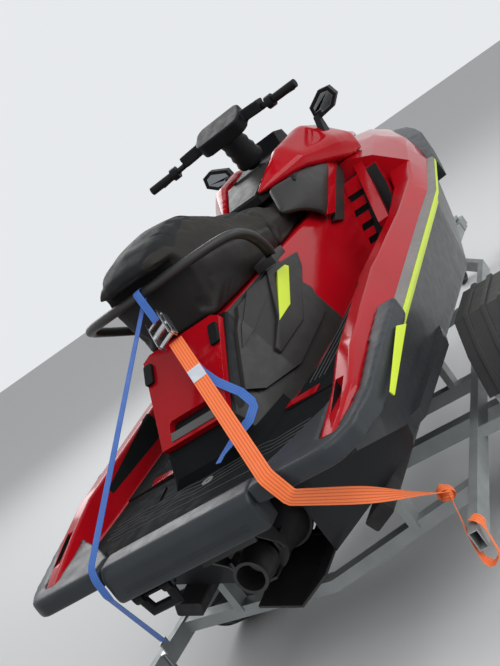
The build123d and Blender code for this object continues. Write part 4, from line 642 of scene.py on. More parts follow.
def make(name: str, bm: bmesh.types.BMesh, finishes: tuple[Finish, ...], body: str,
         replaced: tuple[str, ...] = ()) -> bpy.types.Object:
    """Turn a mesh into a piece that rides on a body.

    Args:
        name: Piece's name.
        bm: Its mesh, which is freed.
        finishes: Finishes of its material slots, the main one first.
        body: Body that carries it.
        replaced: CAD nodes that it stands for.

    Returns:
        The new object.
    """
    mesh = bpy.data.meshes.new(name)
    bm.to_mesh(mesh)
    bm.free()
    piece = linked(name, mesh)
    for finish in finishes:
        mesh.materials.append(finish.material())
    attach(piece, body)
    if replaced:
        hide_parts(*replaced)
    LOG.info("%s: %d faces", name, len(mesh.polygons))
    return piece


def even_normals(piece: bpy.types.Object) -> None:
    """Let a piece's large faces lead its shading.

    Args:
        piece: Piece to change.
    """
    modifier = piece.modifiers.new("even_normals", "WEIGHTED_NORMAL")
    modifier.keep_sharp = True
    modifier.weight = NORMAL_WEIGHT


def thickened(piece: bpy.types.Object, thickness: float, offset: float = 0.0) -> None:
    """Give a sheet a wall.

    Args:
        piece: Sheet to thicken.
        thickness: Wall in metres.
        offset: 0 for half the wall on each side, -1 for all of it behind the sheet.
    """
    wall = piece.modifiers.new("thickness", "SOLIDIFY")
    wall.thickness = thickness
    wall.offset = offset


def edge_softened(piece: bpy.types.Object, width: float, segments: int) -> None:
    """Bevel the edges that a piece has after its wall.

    Args:
        piece: Piece to change.
        width: Width of the bevel in metres.
        segments: Faces across the bevel.
    """
    edge = piece.modifiers.new("soft_edge", "BEVEL")
    edge.width = width
    edge.segments = segments
    edge.limit_method = "ANGLE"


def subdivided(piece: bpy.types.Object, levels: int) -> None:
    """Smooth a piece by subdivision.

    Args:
        piece: Piece to change.
        levels: Times that its faces are split.
    """
    skin = piece.modifiers.new("soft_skin", "SUBSURF")
    skin.levels = levels
    skin.render_levels = levels


def surface_of(node: str) -> BVHTree:
    """Search tree of a CAD piece's surface.

    Args:
        node: CAD node to search.

    Returns:
        The tree.
    """
    bm = copied(node)
    tree = BVHTree.FromBMesh(bm)
    bm.free()
    return tree


def dropped(surface: BVHTree, x: float, y: float) -> Vector:
    """Point of a surface under a place.

    Args:
        surface: Search tree of the surface.
        x: Millimetres ahead of the stern.
        y: Millimetres to port of the middle.

    Returns:
        The highest point there, or the nearest one beside it.
    """
    found = surface.ray_cast(craft(x, y, DROP_HEIGHT), Vector((0, 0, -1)))[0]
    if found is None:
        found = surface.find_nearest(craft(x, y, FLOOR_HEIGHT))[0]
    return found


@dataclass
class Skin:
    """Rounded and evenly shaded copy of a CAD piece, which stands for it."""

    node: str
    finish: Finish
    width: float = 0.003
    segments: int = 2
    others: tuple[Finish, ...] = ()
    region: Callable[[Vector, Vector], int] | None = None
    cuts: tuple[tuple[Vector, Vector], ...] = ()

    def build(self) -> bpy.types.Object:
        """Copy, cut, mark, round and shade the mesh.

        Returns:
            The piece.
        """
        bm = copied(self.node)
        for place, normal in self.cuts:
            bmesh.ops.bisect_plane(bm, geom=[*bm.verts, *bm.edges, *bm.faces], plane_co=place,
                                   plane_no=normal, dist=MERGE_REACH)
        if self.region is not None:
            for face in bm.faces:
                face.material_index = self.region(craft_mm(face.calc_center_median()), face.normal)
        if self.width:
            rounded(bm, self.width, self.segments)
        shaded(bm)
        piece = make(f"{self.node}_skin", bm, (self.finish, *self.others), body_of(self.node),
                     (self.node,))
        even_normals(piece)
        return piece


def evaluated(piece: bpy.types.Object) -> bpy.types.Mesh:
    """Mesh of a piece with its modifiers applied."""
    graph = bpy.context.evaluated_depsgraph_get()
    return bpy.data.meshes.new_from_object(piece.evaluated_get(graph), depsgraph=graph)


def spun(outline: list[Vector], centre: Vector, axis: Vector, steps: int,
         closed: bool) -> bmesh.types.BMesh:
    """Turn an outline round an axis.

    Args:
        outline: Its points in metres.
        centre: Point of the axis.
        axis: Direction of the axis.
        steps: Faces round the axis.
        closed: Whether the outline's ends are joined.

    Returns:
        The turned mesh.
    """
    bm = bmesh.new()
    spots = [bm.verts.new(spot) for spot in outline]
    edges = [bm.edges.new(pair) for pair in zip(spots, spots[1:])]
    if closed:
        edges.append(bm.edges.new((spots[-1], spots[0])))
    bmesh.ops.spin(bm, geom=[*spots, *edges], cent=centre, axis=axis, angle=math.tau, steps=steps,
                   use_merge=True)
    return bm


def remeshed(bm: bmesh.types.BMesh, voxel: float, smoothing: int) -> bmesh.types.BMesh:
    """Rebuild a closed mesh from small even faces and smooth it.

    Args:
        bm: Closed mesh, which is freed.
        voxel: Size of a face in metres.
        smoothing: Rounds of smoothing.

    Returns:
        The new mesh.
    """
    mesh = bpy.data.meshes.new("moulding_draft")
    bm.to_mesh(mesh)
    bm.free()
    draft = linked("moulding_draft", mesh)
    modifier = draft.modifiers.new("even_faces", "REMESH")
    modifier.mode = "VOXEL"
    modifier.voxel_size = voxel
    even = evaluated(draft)
    fresh = bmesh.new()
    fresh.from_mesh(even)
    bpy.data.objects.remove(draft)
    bpy.data.meshes.remove(mesh)
    bpy.data.meshes.remove(even)
    for _ in range(smoothing):
        bmesh.ops.smooth_vert(fresh, verts=fresh.verts, factor=SMOOTHING_STEP, use_axis_x=True,
                              use_axis_y=True, use_axis_z=True)
    return fresh


@dataclass
class Moulding:
    """Soft-edged copy of a CAD piece, remeshed in even faces and smoothed."""

    node: str
    finish: Finish
    voxel: float = 0.004
    smoothing: int = 6

    def build(self) -> bpy.types.Object:
        """Copy, remesh and smooth the mesh.

        Returns:
            The piece.
        """
        bm = remeshed(copied(self.node), self.voxel, self.smoothing)
        shaded(bm, ALL_SMOOTH)
        return make(f"{self.node}_moulding", bm, (self.finish,), body_of(self.node), (self.node,))


@dataclass(frozen=True)
class Seam:
    """Sewn line of a cushion, pressed into it."""

    points: tuple[Row, ...]
    plan: bool = True
    depth: float = 0.004
    width: float = 0.006

    def away(self, spot: Vector) -> float:
        """Distance of a point from the line, seen from above or from the side.

        Args:
            spot: Point in metres in the shared frame.

        Returns:
            The distance in metres.
        """
        across = abs(spot.y) if self.plan else spot.z - KEEL_HEIGHT
        here = Vector((spot.x - STERN_X, across))
        nearest = math.inf
        for start, end in zip(self.points, self.points[1:]):
            low = Vector(start) / 1000
            way = Vector(end) / 1000 - low
            share = min(1.0, max(0.0, (here - low).dot(way) / way.length_squared))
            nearest = min(nearest, (here - low - way * share).length)
        return nearest


@dataclass
class Cushion:
    """Padded seat blown up from its CAD solid, with seams and three coverings.

    The rim, base line and profile give the half breadth of its top, the height of its base and the rise
    of its top over the CAD along x. They and the three sizes that follow are millimetres, the others
    metres.
    """

    node: str
    seams: tuple[Seam, ...]
    rim: tuple[Row, ...]
    base_line: tuple[Row, ...]
    profile: tuple[Row, ...]
    firm_height: float = 925.0
    soft_depth: float = 110.0
    half_breadth: float = 150.0
    crown: float = 10.0
    voxel: float = 0.008
    smoothing: int = 12
    shrink: float = 0.985
    pressure: float = 4.0
    frames: int = 20
    cloth_steps: int = 4
    cap: float = 0.008
    foot: float = 0.004

    def build(self) -> bpy.types.Object:
        """Remesh, inflate, press the seams in and cover the cushion.

        Returns:
            The piece.
        """
        bm = copied(self.node)
        low, middle, _ = box_of(self.node)
        bmesh.ops.translate(bm, verts=bm.verts, vec=-middle)
        bmesh.ops.scale(bm, verts=bm.verts, vec=(self.shrink, self.shrink, self.shrink))
        bmesh.ops.translate(bm, verts=bm.verts, vec=middle)
        bm = remeshed(bm, self.voxel, self.smoothing)
        self.shaped(bm)
        bm = self.inflated(bm, low.z + self.foot * 2)
        self.sewn(bm, low.z)
        for face in bm.faces:
            face.material_index = self.covering(face.calc_center_median())
        shaded(bm, ALL_SMOOTH)
        piece = make(f"{self.node}_cushion", bm, (SEAT_TOP, SEAT_SIDE, SEAT_BASE), body_of(self.node),
                     (self.node,))
        subdivided(piece, 1)
        return piece

    def shaped(self, bm: bmesh.types.BMesh) -> None:
        """Raise or sink the top along its length and crown it across.

        Args:
            bm: Cushion to change.
        """
        for vert in bm.verts:
            spot = craft_mm(vert.co)
            share = min(1.0, max(0.0, (spot.z - self.firm_height) / self.soft_depth))
            across = (spot.y / self.half_breadth) ** 2
            vert.co.z += (interpolate(self.profile, spot.x) - self.crown * across) * share / 1000

    def covering(self, spot: Vector) -> int:
        """Number of the covering at a point.

        Args:
            spot: Point in the shared frame.

        Returns:
            0 on the top, 1 on the side and 2 on the base.
        """
        place = craft_mm(spot)
        if place.z < interpolate(self.base_line, place.x):
            return 2
        return int(abs(place.y) > interpolate(self.rim, place.x))

    def inflated(self, bm: bmesh.types.BMesh, held_below: float) -> bmesh.types.BMesh:
        """Blow the cushion up as cloth, with its foot held and its swell capped.

        Args:
            bm: Remeshed cushion, which is freed.
            held_below: Height under which its points are pinned.

        Returns:
            The swollen mesh.
        """
        before = [vert.co.copy() for vert in bm.verts]
        mesh = bpy.data.meshes.new("cushion_draft")
        bm.to_mesh(mesh)
        bm.free()
        draft = linked("cushion_draft", mesh)
        held = draft.vertex_groups.new(name="held")
        held.add([index for index, spot in enumerate(before) if spot.z < held_below], 1.0, "REPLACE")
        cloth = draft.modifiers.new("padding", "CLOTH")
        cloth.settings.use_pressure = True
        cloth.settings.uniform_pressure_force = self.pressure
        cloth.settings.effector_weights.gravity = 0.0
        cloth.settings.vertex_group_mass = "held"
        cloth.settings.quality = self.cloth_steps
        for number in range(1, self.frames + 1):
            bpy.context.scene.frame_set(number)
        swollen = evaluated(draft)
        bpy.context.scene.frame_set(1)
        fresh = bmesh.new()
        fresh.from_mesh(swollen)
        for vert, start in zip(fresh.verts, before):
            way = vert.co - start
            if way.length > self.cap:
                vert.co = start + way * (self.cap / way.length)
        bpy.data.objects.remove(draft)
        bpy.data.meshes.remove(mesh)
        bpy.data.meshes.remove(swollen)
        return fresh

    def sewn(self, bm: bmesh.types.BMesh, bottom: float) -> None:
        """Press every seam into the cushion and keep its foot flat.

        Args:
            bm: Cushion to change.
            bottom: Lowest height of the CAD solid.
        """
        bm.normal_update()
        pulls = []
        for vert in bm.verts:
            pull = 0.0
            for seam in self.seams:
                gap = seam.away(vert.co) / seam.width
                if gap < SEAM_REACH and (not seam.plan or vert.normal.z > SEAM_SLOPE):
                    pull = max(pull, seam.depth * math.exp(-gap * gap))
            pulls.append(pull)
        for vert, pull in zip(bm.verts, pulls):
            vert.co -= vert.normal * pull
            vert.co.z = max(vert.co.z, bottom)


def neighbours(places: list[Vector], index: int) -> tuple[Vector, Vector]:
    """Stations on both sides of one, or the station itself past an end."""
    return places[max(index - 1, 0)], places[min(index + 1, len(places) - 1)]


def strip(points: list[Vector], normals: list[Vector], width: float) -> bmesh.types.BMesh:
    """Flat band along a line of points.

    Args:
        points: Middle of the band at each station.
        normals: Direction that its flat side faces there.
        width: Width of the band in metres.

    Returns:
        A mesh with its length and breadth in metres as UV.
    """
    bm = bmesh.new()
    bmesh.ops.create_grid(bm, x_segments=2, y_segments=len(points) - 1, size=0.5)
    rows = sorted(bm.verts, key=lambda vert: (round(vert.co.y, ROW_DIGITS), vert.co.x))
    across_count = len(rows) // len(points)
    layer = bm.loops.layers.uv.new("UVMap")
    run = 0.0
    place = {}
    for index, spot in enumerate(points):
        before, after = neighbours(points, index)
        side = (after - before).cross(normals[index]).normalized()
        if index:
            run += (spot - before).length
        for number in range(across_count):
            vert = rows[index * across_count + number]
            shift = (number / (across_count - 1) - 0.5) * width
            vert.co = spot + side * shift
            place[vert] = (shift, run)
    for face in bm.faces:
        for loop in face.loops:
            loop[layer].uv = place[loop.vert]
    shaded(bm, ALL_SMOOTH)
    return bm


def pointed(rows: tuple[Row, ...]) -> list[tuple[Vector, Vector]]:
    """Turn rows of x, y, z in craft millimetres and a direction into points and directions."""
    return [(craft(*row[:3]), Vector(row[3:])) for row in rows]


def eased(run: list[tuple[Vector, Vector]], bend: float,
          pitch: float) -> tuple[list[Vector], list[Vector]]:
    """Stations along a run, with each corner held open by a short bend.

    Args:
        run: Corner points, each with the normal of the band's flat side.
        bend: Distance from a corner to the ends of its bend, in metres.
        pitch: Longest step between stations.

    Returns:
        The stations and the normals there.
    """
    points = []
    normals = []
    for number, ((start, first), (end, last)) in enumerate(zip(run, run[1:])):
        length = (end - start).length
        reach = min(bend, length * LONGEST_BEND)
        low = 0.0 if number == 0 else reach / length
        high = 1.0 if number == len(run) - 2 else 1 - reach / length
        steps = max(1, round((high - low) * length / pitch))
        for step in range(steps + 1):
            share = low + (high - low) * step / steps
            points.append(start.lerp(end, share))
            normals.append(first.normalized().lerp(last.normalized(), share).normalized())
    return points, normals


def swept_tube(bm: bmesh.types.BMesh, places: list[Vector], breadth: float, height: float,
               sides: int) -> None:
    """Add a closed tube along places to a mesh.

    Args:
        bm: Mesh to add to.
        places: Middle of the tube at each station.
        breadth: Half width across.
        height: Half height.
        sides: Faces round the tube.
    """
    rings = []
    for index, spot in enumerate(places):
        before, after = neighbours(places, index)
        way = (after - before).normalized()
        side = way.cross(UP).normalized()
        top = side.cross(way)
        ring = bmesh.ops.create_circle(bm, cap_ends=index in (0, len(places) - 1), segments=sides,
                                       radius=1.0)["verts"]
        for vert in ring:
            vert.co = spot + side * vert.co.x * breadth + top * vert.co.y * height
        rings.append(ring)
    for first, second in zip(rings, rings[1:]):
        edges = {edge for vert in (*first, *second) for edge in vert.link_edges
                 if edge.other_vert(vert) in first or edge.other_vert(vert) in second}
        loops = [edge for edge in edges if (edge.verts[0] in first) == (edge.verts[1] in first)]
        bmesh.ops.bridge_loops(bm, edges=loops)
    bmesh.ops.recalc_face_normals(bm, faces=bm.faces)


def extruded(corners: list[Vector], way: Vector) -> bmesh.types.BMesh:
    """Closed plate made by drawing an outline out.

    Args:
        corners: Corners of the outline.
        way: Distance and direction that it is drawn.

    Returns:
        The plate's mesh.
    """
    bm = bmesh.new()
    face = bm.faces.new([bm.verts.new(corner) for corner in corners])
    made = bmesh.ops.extrude_face_region(bm, geom=[face])
    moved = [item for item in made["geom"] if isinstance(item, bmesh.types.BMVert)]
    bmesh.ops.translate(bm, verts=moved, vec=way)
    bmesh.ops.recalc_face_normals(bm, faces=bm.faces)
    return bm


def slab(name: str, corners: tuple[Row, ...], out: Vector, depth: float, finish: Finish,
         width: float) -> None:
    """Plate of an outline that need not be flat, thickened both ways.

    Args:
        name: Piece's name.
        corners: Its corners in craft millimetres.
        out: Direction that it faces.
        depth: Half its thickness in metres.
        finish: Its finish.
        width: Bevel of its edges in metres.
    """
    low = out.normalized() * -depth
    bm = extruded([craft(*corner) + low for corner in corners], low * -2)
    rounded(bm, width, 2, SLAB_BEVELLED)
    bmesh.ops.triangulate(bm, faces=[item for item in bm.faces if len(item.verts) > 4])
    shaded(bm, SLAB_SHARP)
    even_normals(make(name, bm, (finish,), ROOT_BODY))


def plate(name: str, outline: tuple[Row, ...], inner: float, outer: float, finish: Finish) -> None:
    """Upright plate of an outline seen from the side.

    Args:
        name: Piece's name.
        outline: Corners as x and z in craft millimetres.
        inner: Side of its inner face.
        outer: Side of its outer face.
        finish: Its finish.
    """
    bm = extruded([craft(x, inner, z) for x, z in outline], Vector((0, (outer - inner) / 1000, 0)))
    rounded(bm, PLATE_EDGE)
    shaded(bm)
    even_normals(make(name, bm, (finish,), ROOT_BODY))


def band(name: str, points: list[Vector], out: Vector, width: float, finish: Finish) -> None:
    """Thin moulding along a line of points.

    Args:
        name: Piece's name.
        points: Stations along it.
        out: Direction that it faces.
        width: Its width in metres.
        finish: Its finish.
    """
    piece = make(name, strip(points, [out] * len(points), width), (finish,), ROOT_BODY)
    thickened(piece, BAND_WALL)
    edge_softened(piece, BAND_EDGE, 2)


@dataclass
class Webbing:
    """Flat woven strap along its run."""

    name: str
    node: str
    finish: Finish
    width: float
    run: list[tuple[Vector, Vector]]
    far_end: str
    lay: str = "taut"
    thickness: float = 0.0022
    bend: float = 0.007
    pitch: float = 0.03
    edge_share: float = 0.3

    def build(self, replaced: tuple[str, ...] = (),
              with_pieces: tuple[bpy.types.Object, ...] = ()) -> bpy.types.Object:
        """Args:
            replaced: CAD nodes that it stands for.
            with_pieces: Separate pieces on it, such as its knot or hook. Not used.

        Returns:
            The strap.
        """
        points, normals = eased(self.run, self.bend, self.pitch)
        piece = make(self.name, strip(points, normals, self.width), (self.finish,), body_of(self.node),
                     replaced)
        thickened(piece, self.thickness)
        edge_softened(piece, self.thickness * self.edge_share, 1)
        return piece


@dataclass
class Lashing:
    """Straps that hold the craft down at the stern.

    A run's rows hold x, y and z of a corner in craft millimetres, then the way that the web faces there.
    """

    orange_width: float = 0.046
    blue_width: float = 0.027
    loop_width: float = 0.030
    orange_run: tuple[Row, ...] = (
        (522, -50, 826, -0.5, -0.25, 0.83), (-30, -350, 502, -0.75, -0.2, 0.6),
        (-40, -378, 430, -0.95, -0.3, 0), (426, -508, 62, -0.25, -0.05, 0.97),
    )
    loop_run: tuple[Row, ...] = (
        (404, -520, 52, 0, 1, 0.3), (262, -562, 10, 0.2, 1, 0.2), (200, -582, -46, 0.3, 1, 0),
        (186, -602, -66, 0, 0, -1), (190, -632, -46, 0, -1, -0.5), (214, -630, 22, 0.3, -1, 0),
        (236, -622, 43, 0, -0.4, 1), (254, -598, 47, 0, 0, 1),
    )
    blue_run: tuple[Row, ...] = (
        (556, -18, 900, -0.7, 0, 0.7), (584, -3, 1006, -0.7, 0, 0.7), (622, 4, 1006, 0, 0, 1),
        (640, 8, 986, 1, 0, 0), (614, 14, 964, 0, 0, -1), (-15, 272, 505, 0.6, 0, -0.8),
        (-31, 272, 474, 1, 0, -0.3), (-31, 275, 412, 1, 0, 0), (316, 530, 72, 0.6, -0.3, 0.7),
    )
    tail_run: tuple[Row, ...] = (
        (522, -48, 790, -0.6, 0, 0.8), (450, -105, 690, -0.6, -0.2, 0.8),
        (402, -206, 594, -0.7, -0.4, 0.6), (366, -212, 552, -0.9, -0.4, 0),
        (300, -97, 519, -0.5, 0.3, 0.8), (258, -78, 507, 0, 0, 1),
    )
    tail_bend: float = 0.03
    patch_place: float = 0.20
    patch_length: float = 0.062
    patch_breadth: float = 0.96
    patch_lift: float = 0.0022
    patch_thickness: float = 0.0012
    knot_size: float = 0.064
    knot_reach: float = 0.42
    knot_flatness: float = 0.72
    knot_breadth: float = 1.1
    knot_thickness: float = 0.004
    knot_steps: int = 14
    # Axis of each wrap of the knot, its shift along it in metres, and its size
    wraps: tuple[tuple[Row, float, float], ...] = (
        ((1, 0.4, 0.2), 0.0, 1.0), ((0.2, 1, 0.5), 0.006, 0.85), ((0.5, -0.3, 1), -0.008, 0.9),
        ((1, -0.6, -0.4), 0.004, 0.75),
    )

    def build(self) -> None:
        """Make both straps, the loose tail, the knot and the ratchet."""
        self.orange()
        hook = Skin("strap_hook", STEEL, width=0.001, segments=1).build()
        Webbing("strap_blue_web", "strap_blue", BLUE_WEB, self.blue_width, pointed(self.blue_run),
                "fitting").build(("strap_blue",), (hook,))
        Webbing("strap_tail_web", "strap_tail", BLUE_WEB, self.blue_width, pointed(self.tail_run),
                "bare", "hanging", bend=self.tail_bend).build(("strap_tail",))
        Skin("strap_ratchet", STEEL, width=0.0008, segments=1).build()

    def orange(self) -> None:
        """Strap from the ratchet round the corner bumper to its knot, and the loop that hangs there."""
        run = pointed(self.orange_run)
        strap = Webbing("strap_orange_web", "strap_orange", ORANGE_WEB, self.orange_width, run, "knot")
        knot = self.knot(run[-1][0])
        patch = self.patch(strap)
        strap.build(("strap_orange",), (*knot, patch))
        Webbing("strap_orange_loop", "strap_orange", ORANGE_WEB, self.loop_width,
                pointed(self.loop_run), "bare", "loose").build()

    def patch(self, strap: Webbing) -> bpy.types.Object:
        """Plain pale patch sewn on the strap's outer face.

        Args:
            strap: Strap that carries it.

        Returns:
            The patch.
        """
        start, normal = strap.run[0]
        end = strap.run[1][0]
        way = (end - start).normalized()
        lift = normal.normalized() * self.patch_lift
        middle = start + way * self.patch_place
        points = [middle + lift + way * self.patch_length * share for share in (-0.5, 0.0, 0.5)]
        bm = strip(points, [normal] * 3, self.orange_width * self.patch_breadth)
        piece = make("strap_patch", bm, (PATCH,), body_of(strap.node))
        thickened(piece, self.patch_thickness)
        return piece

    def knot(self, place: Vector) -> list[bpy.types.Object]:
        """Hitch of wrapped webbing at the end of the strap.

        Args:
            place: Middle of the knot.

        Returns:
            The knot's wraps.
        """
        made = []
        for number, (axis, shift, scale) in enumerate(self.wraps):
            turn = Vector(axis).normalized()
            side = turn.orthogonal().normalized()
            top = turn.cross(side)
            points = []
            normals = []
            for step in range(self.knot_steps + 1):
                angle = math.tau * step / self.knot_steps
                out = side * math.cos(angle) + top * math.sin(angle) * self.knot_flatness
                points.append(place + out * self.knot_size * self.knot_reach * scale + turn * shift)
                normals.append(out)
            bm = strip(points, normals, self.loop_width * self.knot_breadth)
            piece = make(f"strap_knot_{number}", bm, (ORANGE_WEB,), body_of("strap_orange"))
            thickened(piece, self.knot_thickness, -1.0)
            subdivided(piece, 1)
            made.append(piece)
        return made


@dataclass(frozen=True)
class Zone:
    """Stretch of the deck with its own finish.

    Its limits along, to the side and in height are craft millimetres. Its roof is a height at x = 0 and
    the rise along x.
    """

    finish: Finish
    along: tuple[float, float]
    side: tuple[float, float]
    height: tuple[float, float]
    roof: tuple[float, float] = (FAR, 0.0)
    facing: Callable[[Vector], bool] = lambda way: True

    def holds(self, spot: Vector, way: Vector) -> bool:
        """Whether a face lies in the zone.

        Args:
            spot: Middle of the face in craft millimetres.
            way: Direction that it faces, with its y away from the middle of the craft.

        Returns:
            True inside every limit, under the roof and facing the right way.
        """
        limits = ((spot.x, self.along), (abs(spot.y), self.side), (spot.z, self.height))
        within = all(low < value < high for value, (low, high) in limits)
        return within and spot.z < self.roof[0] + spot.x * self.roof[1] and self.facing(way)


DECK_FINISHES = (RED_GEL, PANEL, MAT, PLASTIC)
DECK_ZONES = (
    # Foot of the pedestal and the floor round it
    Zone(MAT, (330, 402), (-1, 192), (474, 584)),
    Zone(MAT, (330, 560), (-1, 312), (470, 510)),
    Zone(MAT, (-FAR, 500), (-1, 425), (-FAR, 478), facing=lambda way: way.z > 0.8),
    # Inner wall of each gunwale
    Zone(MAT, (500, 930), (430, FAR), (524, FAR), (467.5, 0.155), lambda way: way.y < 0),
    # Rear of the pedestal behind the hatch
    Zone(PLASTIC, (400, 662), (-1, 250), (580, FAR), facing=lambda way: way.x < -0.2),
    # Sides of the pedestal under the saddle
    Zone(PANEL, (-FAR, 1150), (120, 285), (478, 802), facing=lambda way: way.z < 0.75),
    # Front wall of each footwell
    Zone(PLASTIC, (1760, 2215), (312, 430), (505, 790), facing=lambda way: way.x < -0.3 and way.z > 0.3),
    Zone(PLASTIC, (1760, 2215), (190, 320), (505, 790), (-1079.065, 0.8806)),
    # Slot at the rear of each gunwale
    Zone(PLASTIC, (134, 286), (505, 533), (-FAR, 552), facing=lambda way: abs(way.y) > 0.5),
    # Walls of the bow locker
    Zone(PLASTIC, (2478, 3052), (-1, 131), (699, FAR), facing=lambda way: abs(way.z) < 0.5),
)

# Rub rail: x, height and half breadth in craft millimetres
RAIL_STATIONS = (
    (60, 440, 548), (250, 457, 582), (700, 498, 590), (1900, 572, 584), (2400, 622, 532),
    (2900, 660, 412), (3250, 680, 283), (3450, 690, 150), (3520, 692, 75),
)


@dataclass
class Shell:
    """Hull, deck, bumpers, rubbing rails and mats.

    Places are craft millimetres. Widths, radii and depths of the lines, ribs and cap are metres.
    """

    # A point and the direction of each plane that splits the deck's faces at a change of finish
    deck_cuts: tuple[Row, ...] = (
        *((x, 0, 0, 1, 0, 0) for x in (335, 560, 1150)),
        *((0, y, 0, 0, 1, 0) for y in (-312, -190, 190, 312)),
        *((0, 0, z, 0, 0, 1) for z in (478, 510, 524, 700)),
        (500, 0, 0, 1, 0, 0), (930, 0, 0, 1, 0, 0), (500, 0, 545, -0.155, 0, 1),
    )
    stripe_top: float = 16.5
    stripe_span: tuple[float, float] = (690, 2450)
    stripe_side: float = 20.6
    stripe_drop: float = 4
    stripe_width: float = 0.017
    stripe_lean: float = -0.1
    # Outlines as x and z, and the side of the inner and outer face
    bumper_strip: tuple[Row, ...] = ((552, 515), (628, 487), (244, 438), (234, 456))
    bumper_strip_sides: tuple[float, float] = (627, 632)
    knee_tee: tuple[Row, ...] = ((1886, 935), (1960, 890), (2090, 905), (2186, 870), (2111, 850),
                                 (1788, 738), (1698, 759), (1900, 850))
    knee_tee_sides: tuple[float, float] = (232, 248)
    knee_strip: tuple[Row, ...] = ((2219, 882), (2332, 862), (1844, 688), (1749, 717))
    knee_strip_sides: tuple[float, float] = (226, 243)
    # Lines of the platform mat: their x, and the shift of x at each y
    mat_lines: tuple[float, ...] = (222, 248, 274, 300)
    mat_sweep: tuple[Row, ...] = ((-370, 6), (-250, -6), (-200, 14), (-70, 4), (20, -6), (90, 12),
                                  (210, 2), (250, 14), (380, 8))
    mat_line_width: float = 0.0022
    rear_line_x: float = 178
    rear_line_slope: float = 0.084
    rear_line_sides: tuple[float, ...] = (-212, -100, 0, 120, 240, 345)
    rear_line_width: float = 0.0026
    # Ridges of the footwell mats: x of their points, y of their middle by x, and their shifts from it
    ridge_stations: tuple[float, ...] = (620, 760, 900, 1050, 1200, 1350, 1500, 1640)
    ridge_middle: tuple[Row, ...] = ((600, 302), (1000, 318), (1700, 330))
    ridge_shifts: tuple[float, ...] = (-27, -9, 9, 27)
    ridge_width: float = 0.004
    mat_border: tuple[Row, ...] = ((502, 222, 482), (546, 226, 482), (546, 338, 483), (502, 332, 480))
    border_depth: float = 0.002
    border_edge: float = 0.001
    drain_place: tuple[float, float] = (268, -8)
    drain_radii: tuple[float, float] = (0.021, 0.019)
    drain_height: float = 0.004
    drain_sides: int = 32
    drain_ring: float = 0.011
    drain_groove: tuple[float, float] = (0.001, 0.002)
    roll_heights: tuple[float, ...] = (398, 406, 414)
    roll_half: int = 220
    roll_step: int = 55
    roll_behind: float = -400
    rib_width: float = 0.0025
    rib_sink: float = 0.0002

    def build(self) -> None:
        """Make every moulding of the outside."""
        Skin("hull", HULL_GEL, width=0.0).build()
        Skin("deck", RED_GEL, width=0.0, others=DECK_FINISHES[1:], region=self.deck_finish,
             cuts=tuple(pointed(self.deck_cuts))).build()
        self.side_trim()
        Skin("bow_bumper", RUBBER, width=0.006).build()
        Moulding("stern_bumper_centre", RUBBER, voxel=0.006, smoothing=9).build()
        for side in ("left", "right"):
            Moulding(f"stern_bumper_{side}", RUBBER, voxel=0.007, smoothing=7).build()
            Skin(f"rub_rail_{side}", RAIL_RUBBER, width=0.0015, others=(LIME,),
                 region=self.on_stripe).build()
            Skin(f"footwell_mat_{side}", MAT, width=0.001, segments=1).build()
        Skin("platform_mat", MAT, width=0.001, segments=1).build()
        platform = surface_of("platform_mat")
        self.platform_lines(platform)
        for hand, side in HANDS:
            self.footwell_lines(hand, side)
        self.drain_cap(platform)
        self.roll_lines()

    def deck_finish(self, spot: Vector, normal: Vector) -> int:
        """Number of the finish of a face of the deck.

        Args:
            spot: Middle of the face in craft millimetres.
            normal: Its outward direction.

        Returns:
            Its place in the deck's finishes, 0 where no zone holds it.
        """
        way = Vector((normal.x, normal.y * math.copysign(1, spot.y), normal.z))
        zone = next((zone for zone in DECK_ZONES if zone.holds(spot, way)), None)
        return 0 if zone is None else DECK_FINISHES.index(zone.finish)

    def on_stripe(self, spot: Vector, _: Vector) -> int:
        """1 where a face of the rail belongs to the bright stripe under it, else 0."""
        return int(spot.z < interpolate(RAIL_STATIONS, spot.x) - self.stripe_top)

    def side_trim(self) -> None:
        """Bright stripe on the rub rail, the strip on each corner bumper and the trim of the footwell."""
        low, high = self.stripe_span
        for hand, side in HANDS:
            points = [craft(x, hand * (breadth + self.stripe_side), height - self.stripe_drop)
                      for x, height, breadth in RAIL_STATIONS if low < x < high]
            band(f"side_stripe_{side}", points, Vector((0, hand, self.stripe_lean)), self.stripe_width,
                 LIME)
            for name, outline, sides, finish in (
                    ("bumper_strip", self.bumper_strip, self.bumper_strip_sides, LIME),
                    ("knee_tee", self.knee_tee, self.knee_tee_sides, RED_GEL),
                    ("knee_strip", self.knee_strip, self.knee_strip_sides, PANEL)):
                plate(f"{name}_{side}", outline, hand * sides[0], hand * sides[1], finish)

    def platform_lines(self, platform: BVHTree) -> None:
        """Moulded lines across the platform mat.

        Args:
            platform: Surface that they lie on.
        """
        for number, x in enumerate(self.mat_lines):
            points = [dropped(platform, x + shift, y) for y, shift in self.mat_sweep]
            band(f"mat_line_{number}", points, UP, self.mat_line_width, GROOVE)
        points = [dropped(platform, self.rear_line_x + y * self.rear_line_slope, y)
                  for y in self.rear_line_sides]
        band("mat_line_rear", points, UP, self.rear_line_width, GROOVE)

    def footwell_lines(self, hand: int, side: str) -> None:
        """Ridges of one footwell mat, and the red border at its rear end.

        Args:
            hand: 1 to port, -1 to starboard.
            side: left or right.
        """
        floor = surface_of(f"footwell_mat_{side}")
        for number, shift in enumerate(self.ridge_shifts):
            points = [dropped(floor, x, hand * (interpolate(self.ridge_middle, x) + shift))
                      for x in self.ridge_stations]
            band(f"mat_ridge_{side}_{number}", points, UP, self.ridge_width, GROOVE)
        corners = tuple((x, hand * y, z) for x, y, z in self.mat_border)
        slab(f"mat_border_{side}", corners, UP, self.border_depth, RED_GEL, self.border_edge)

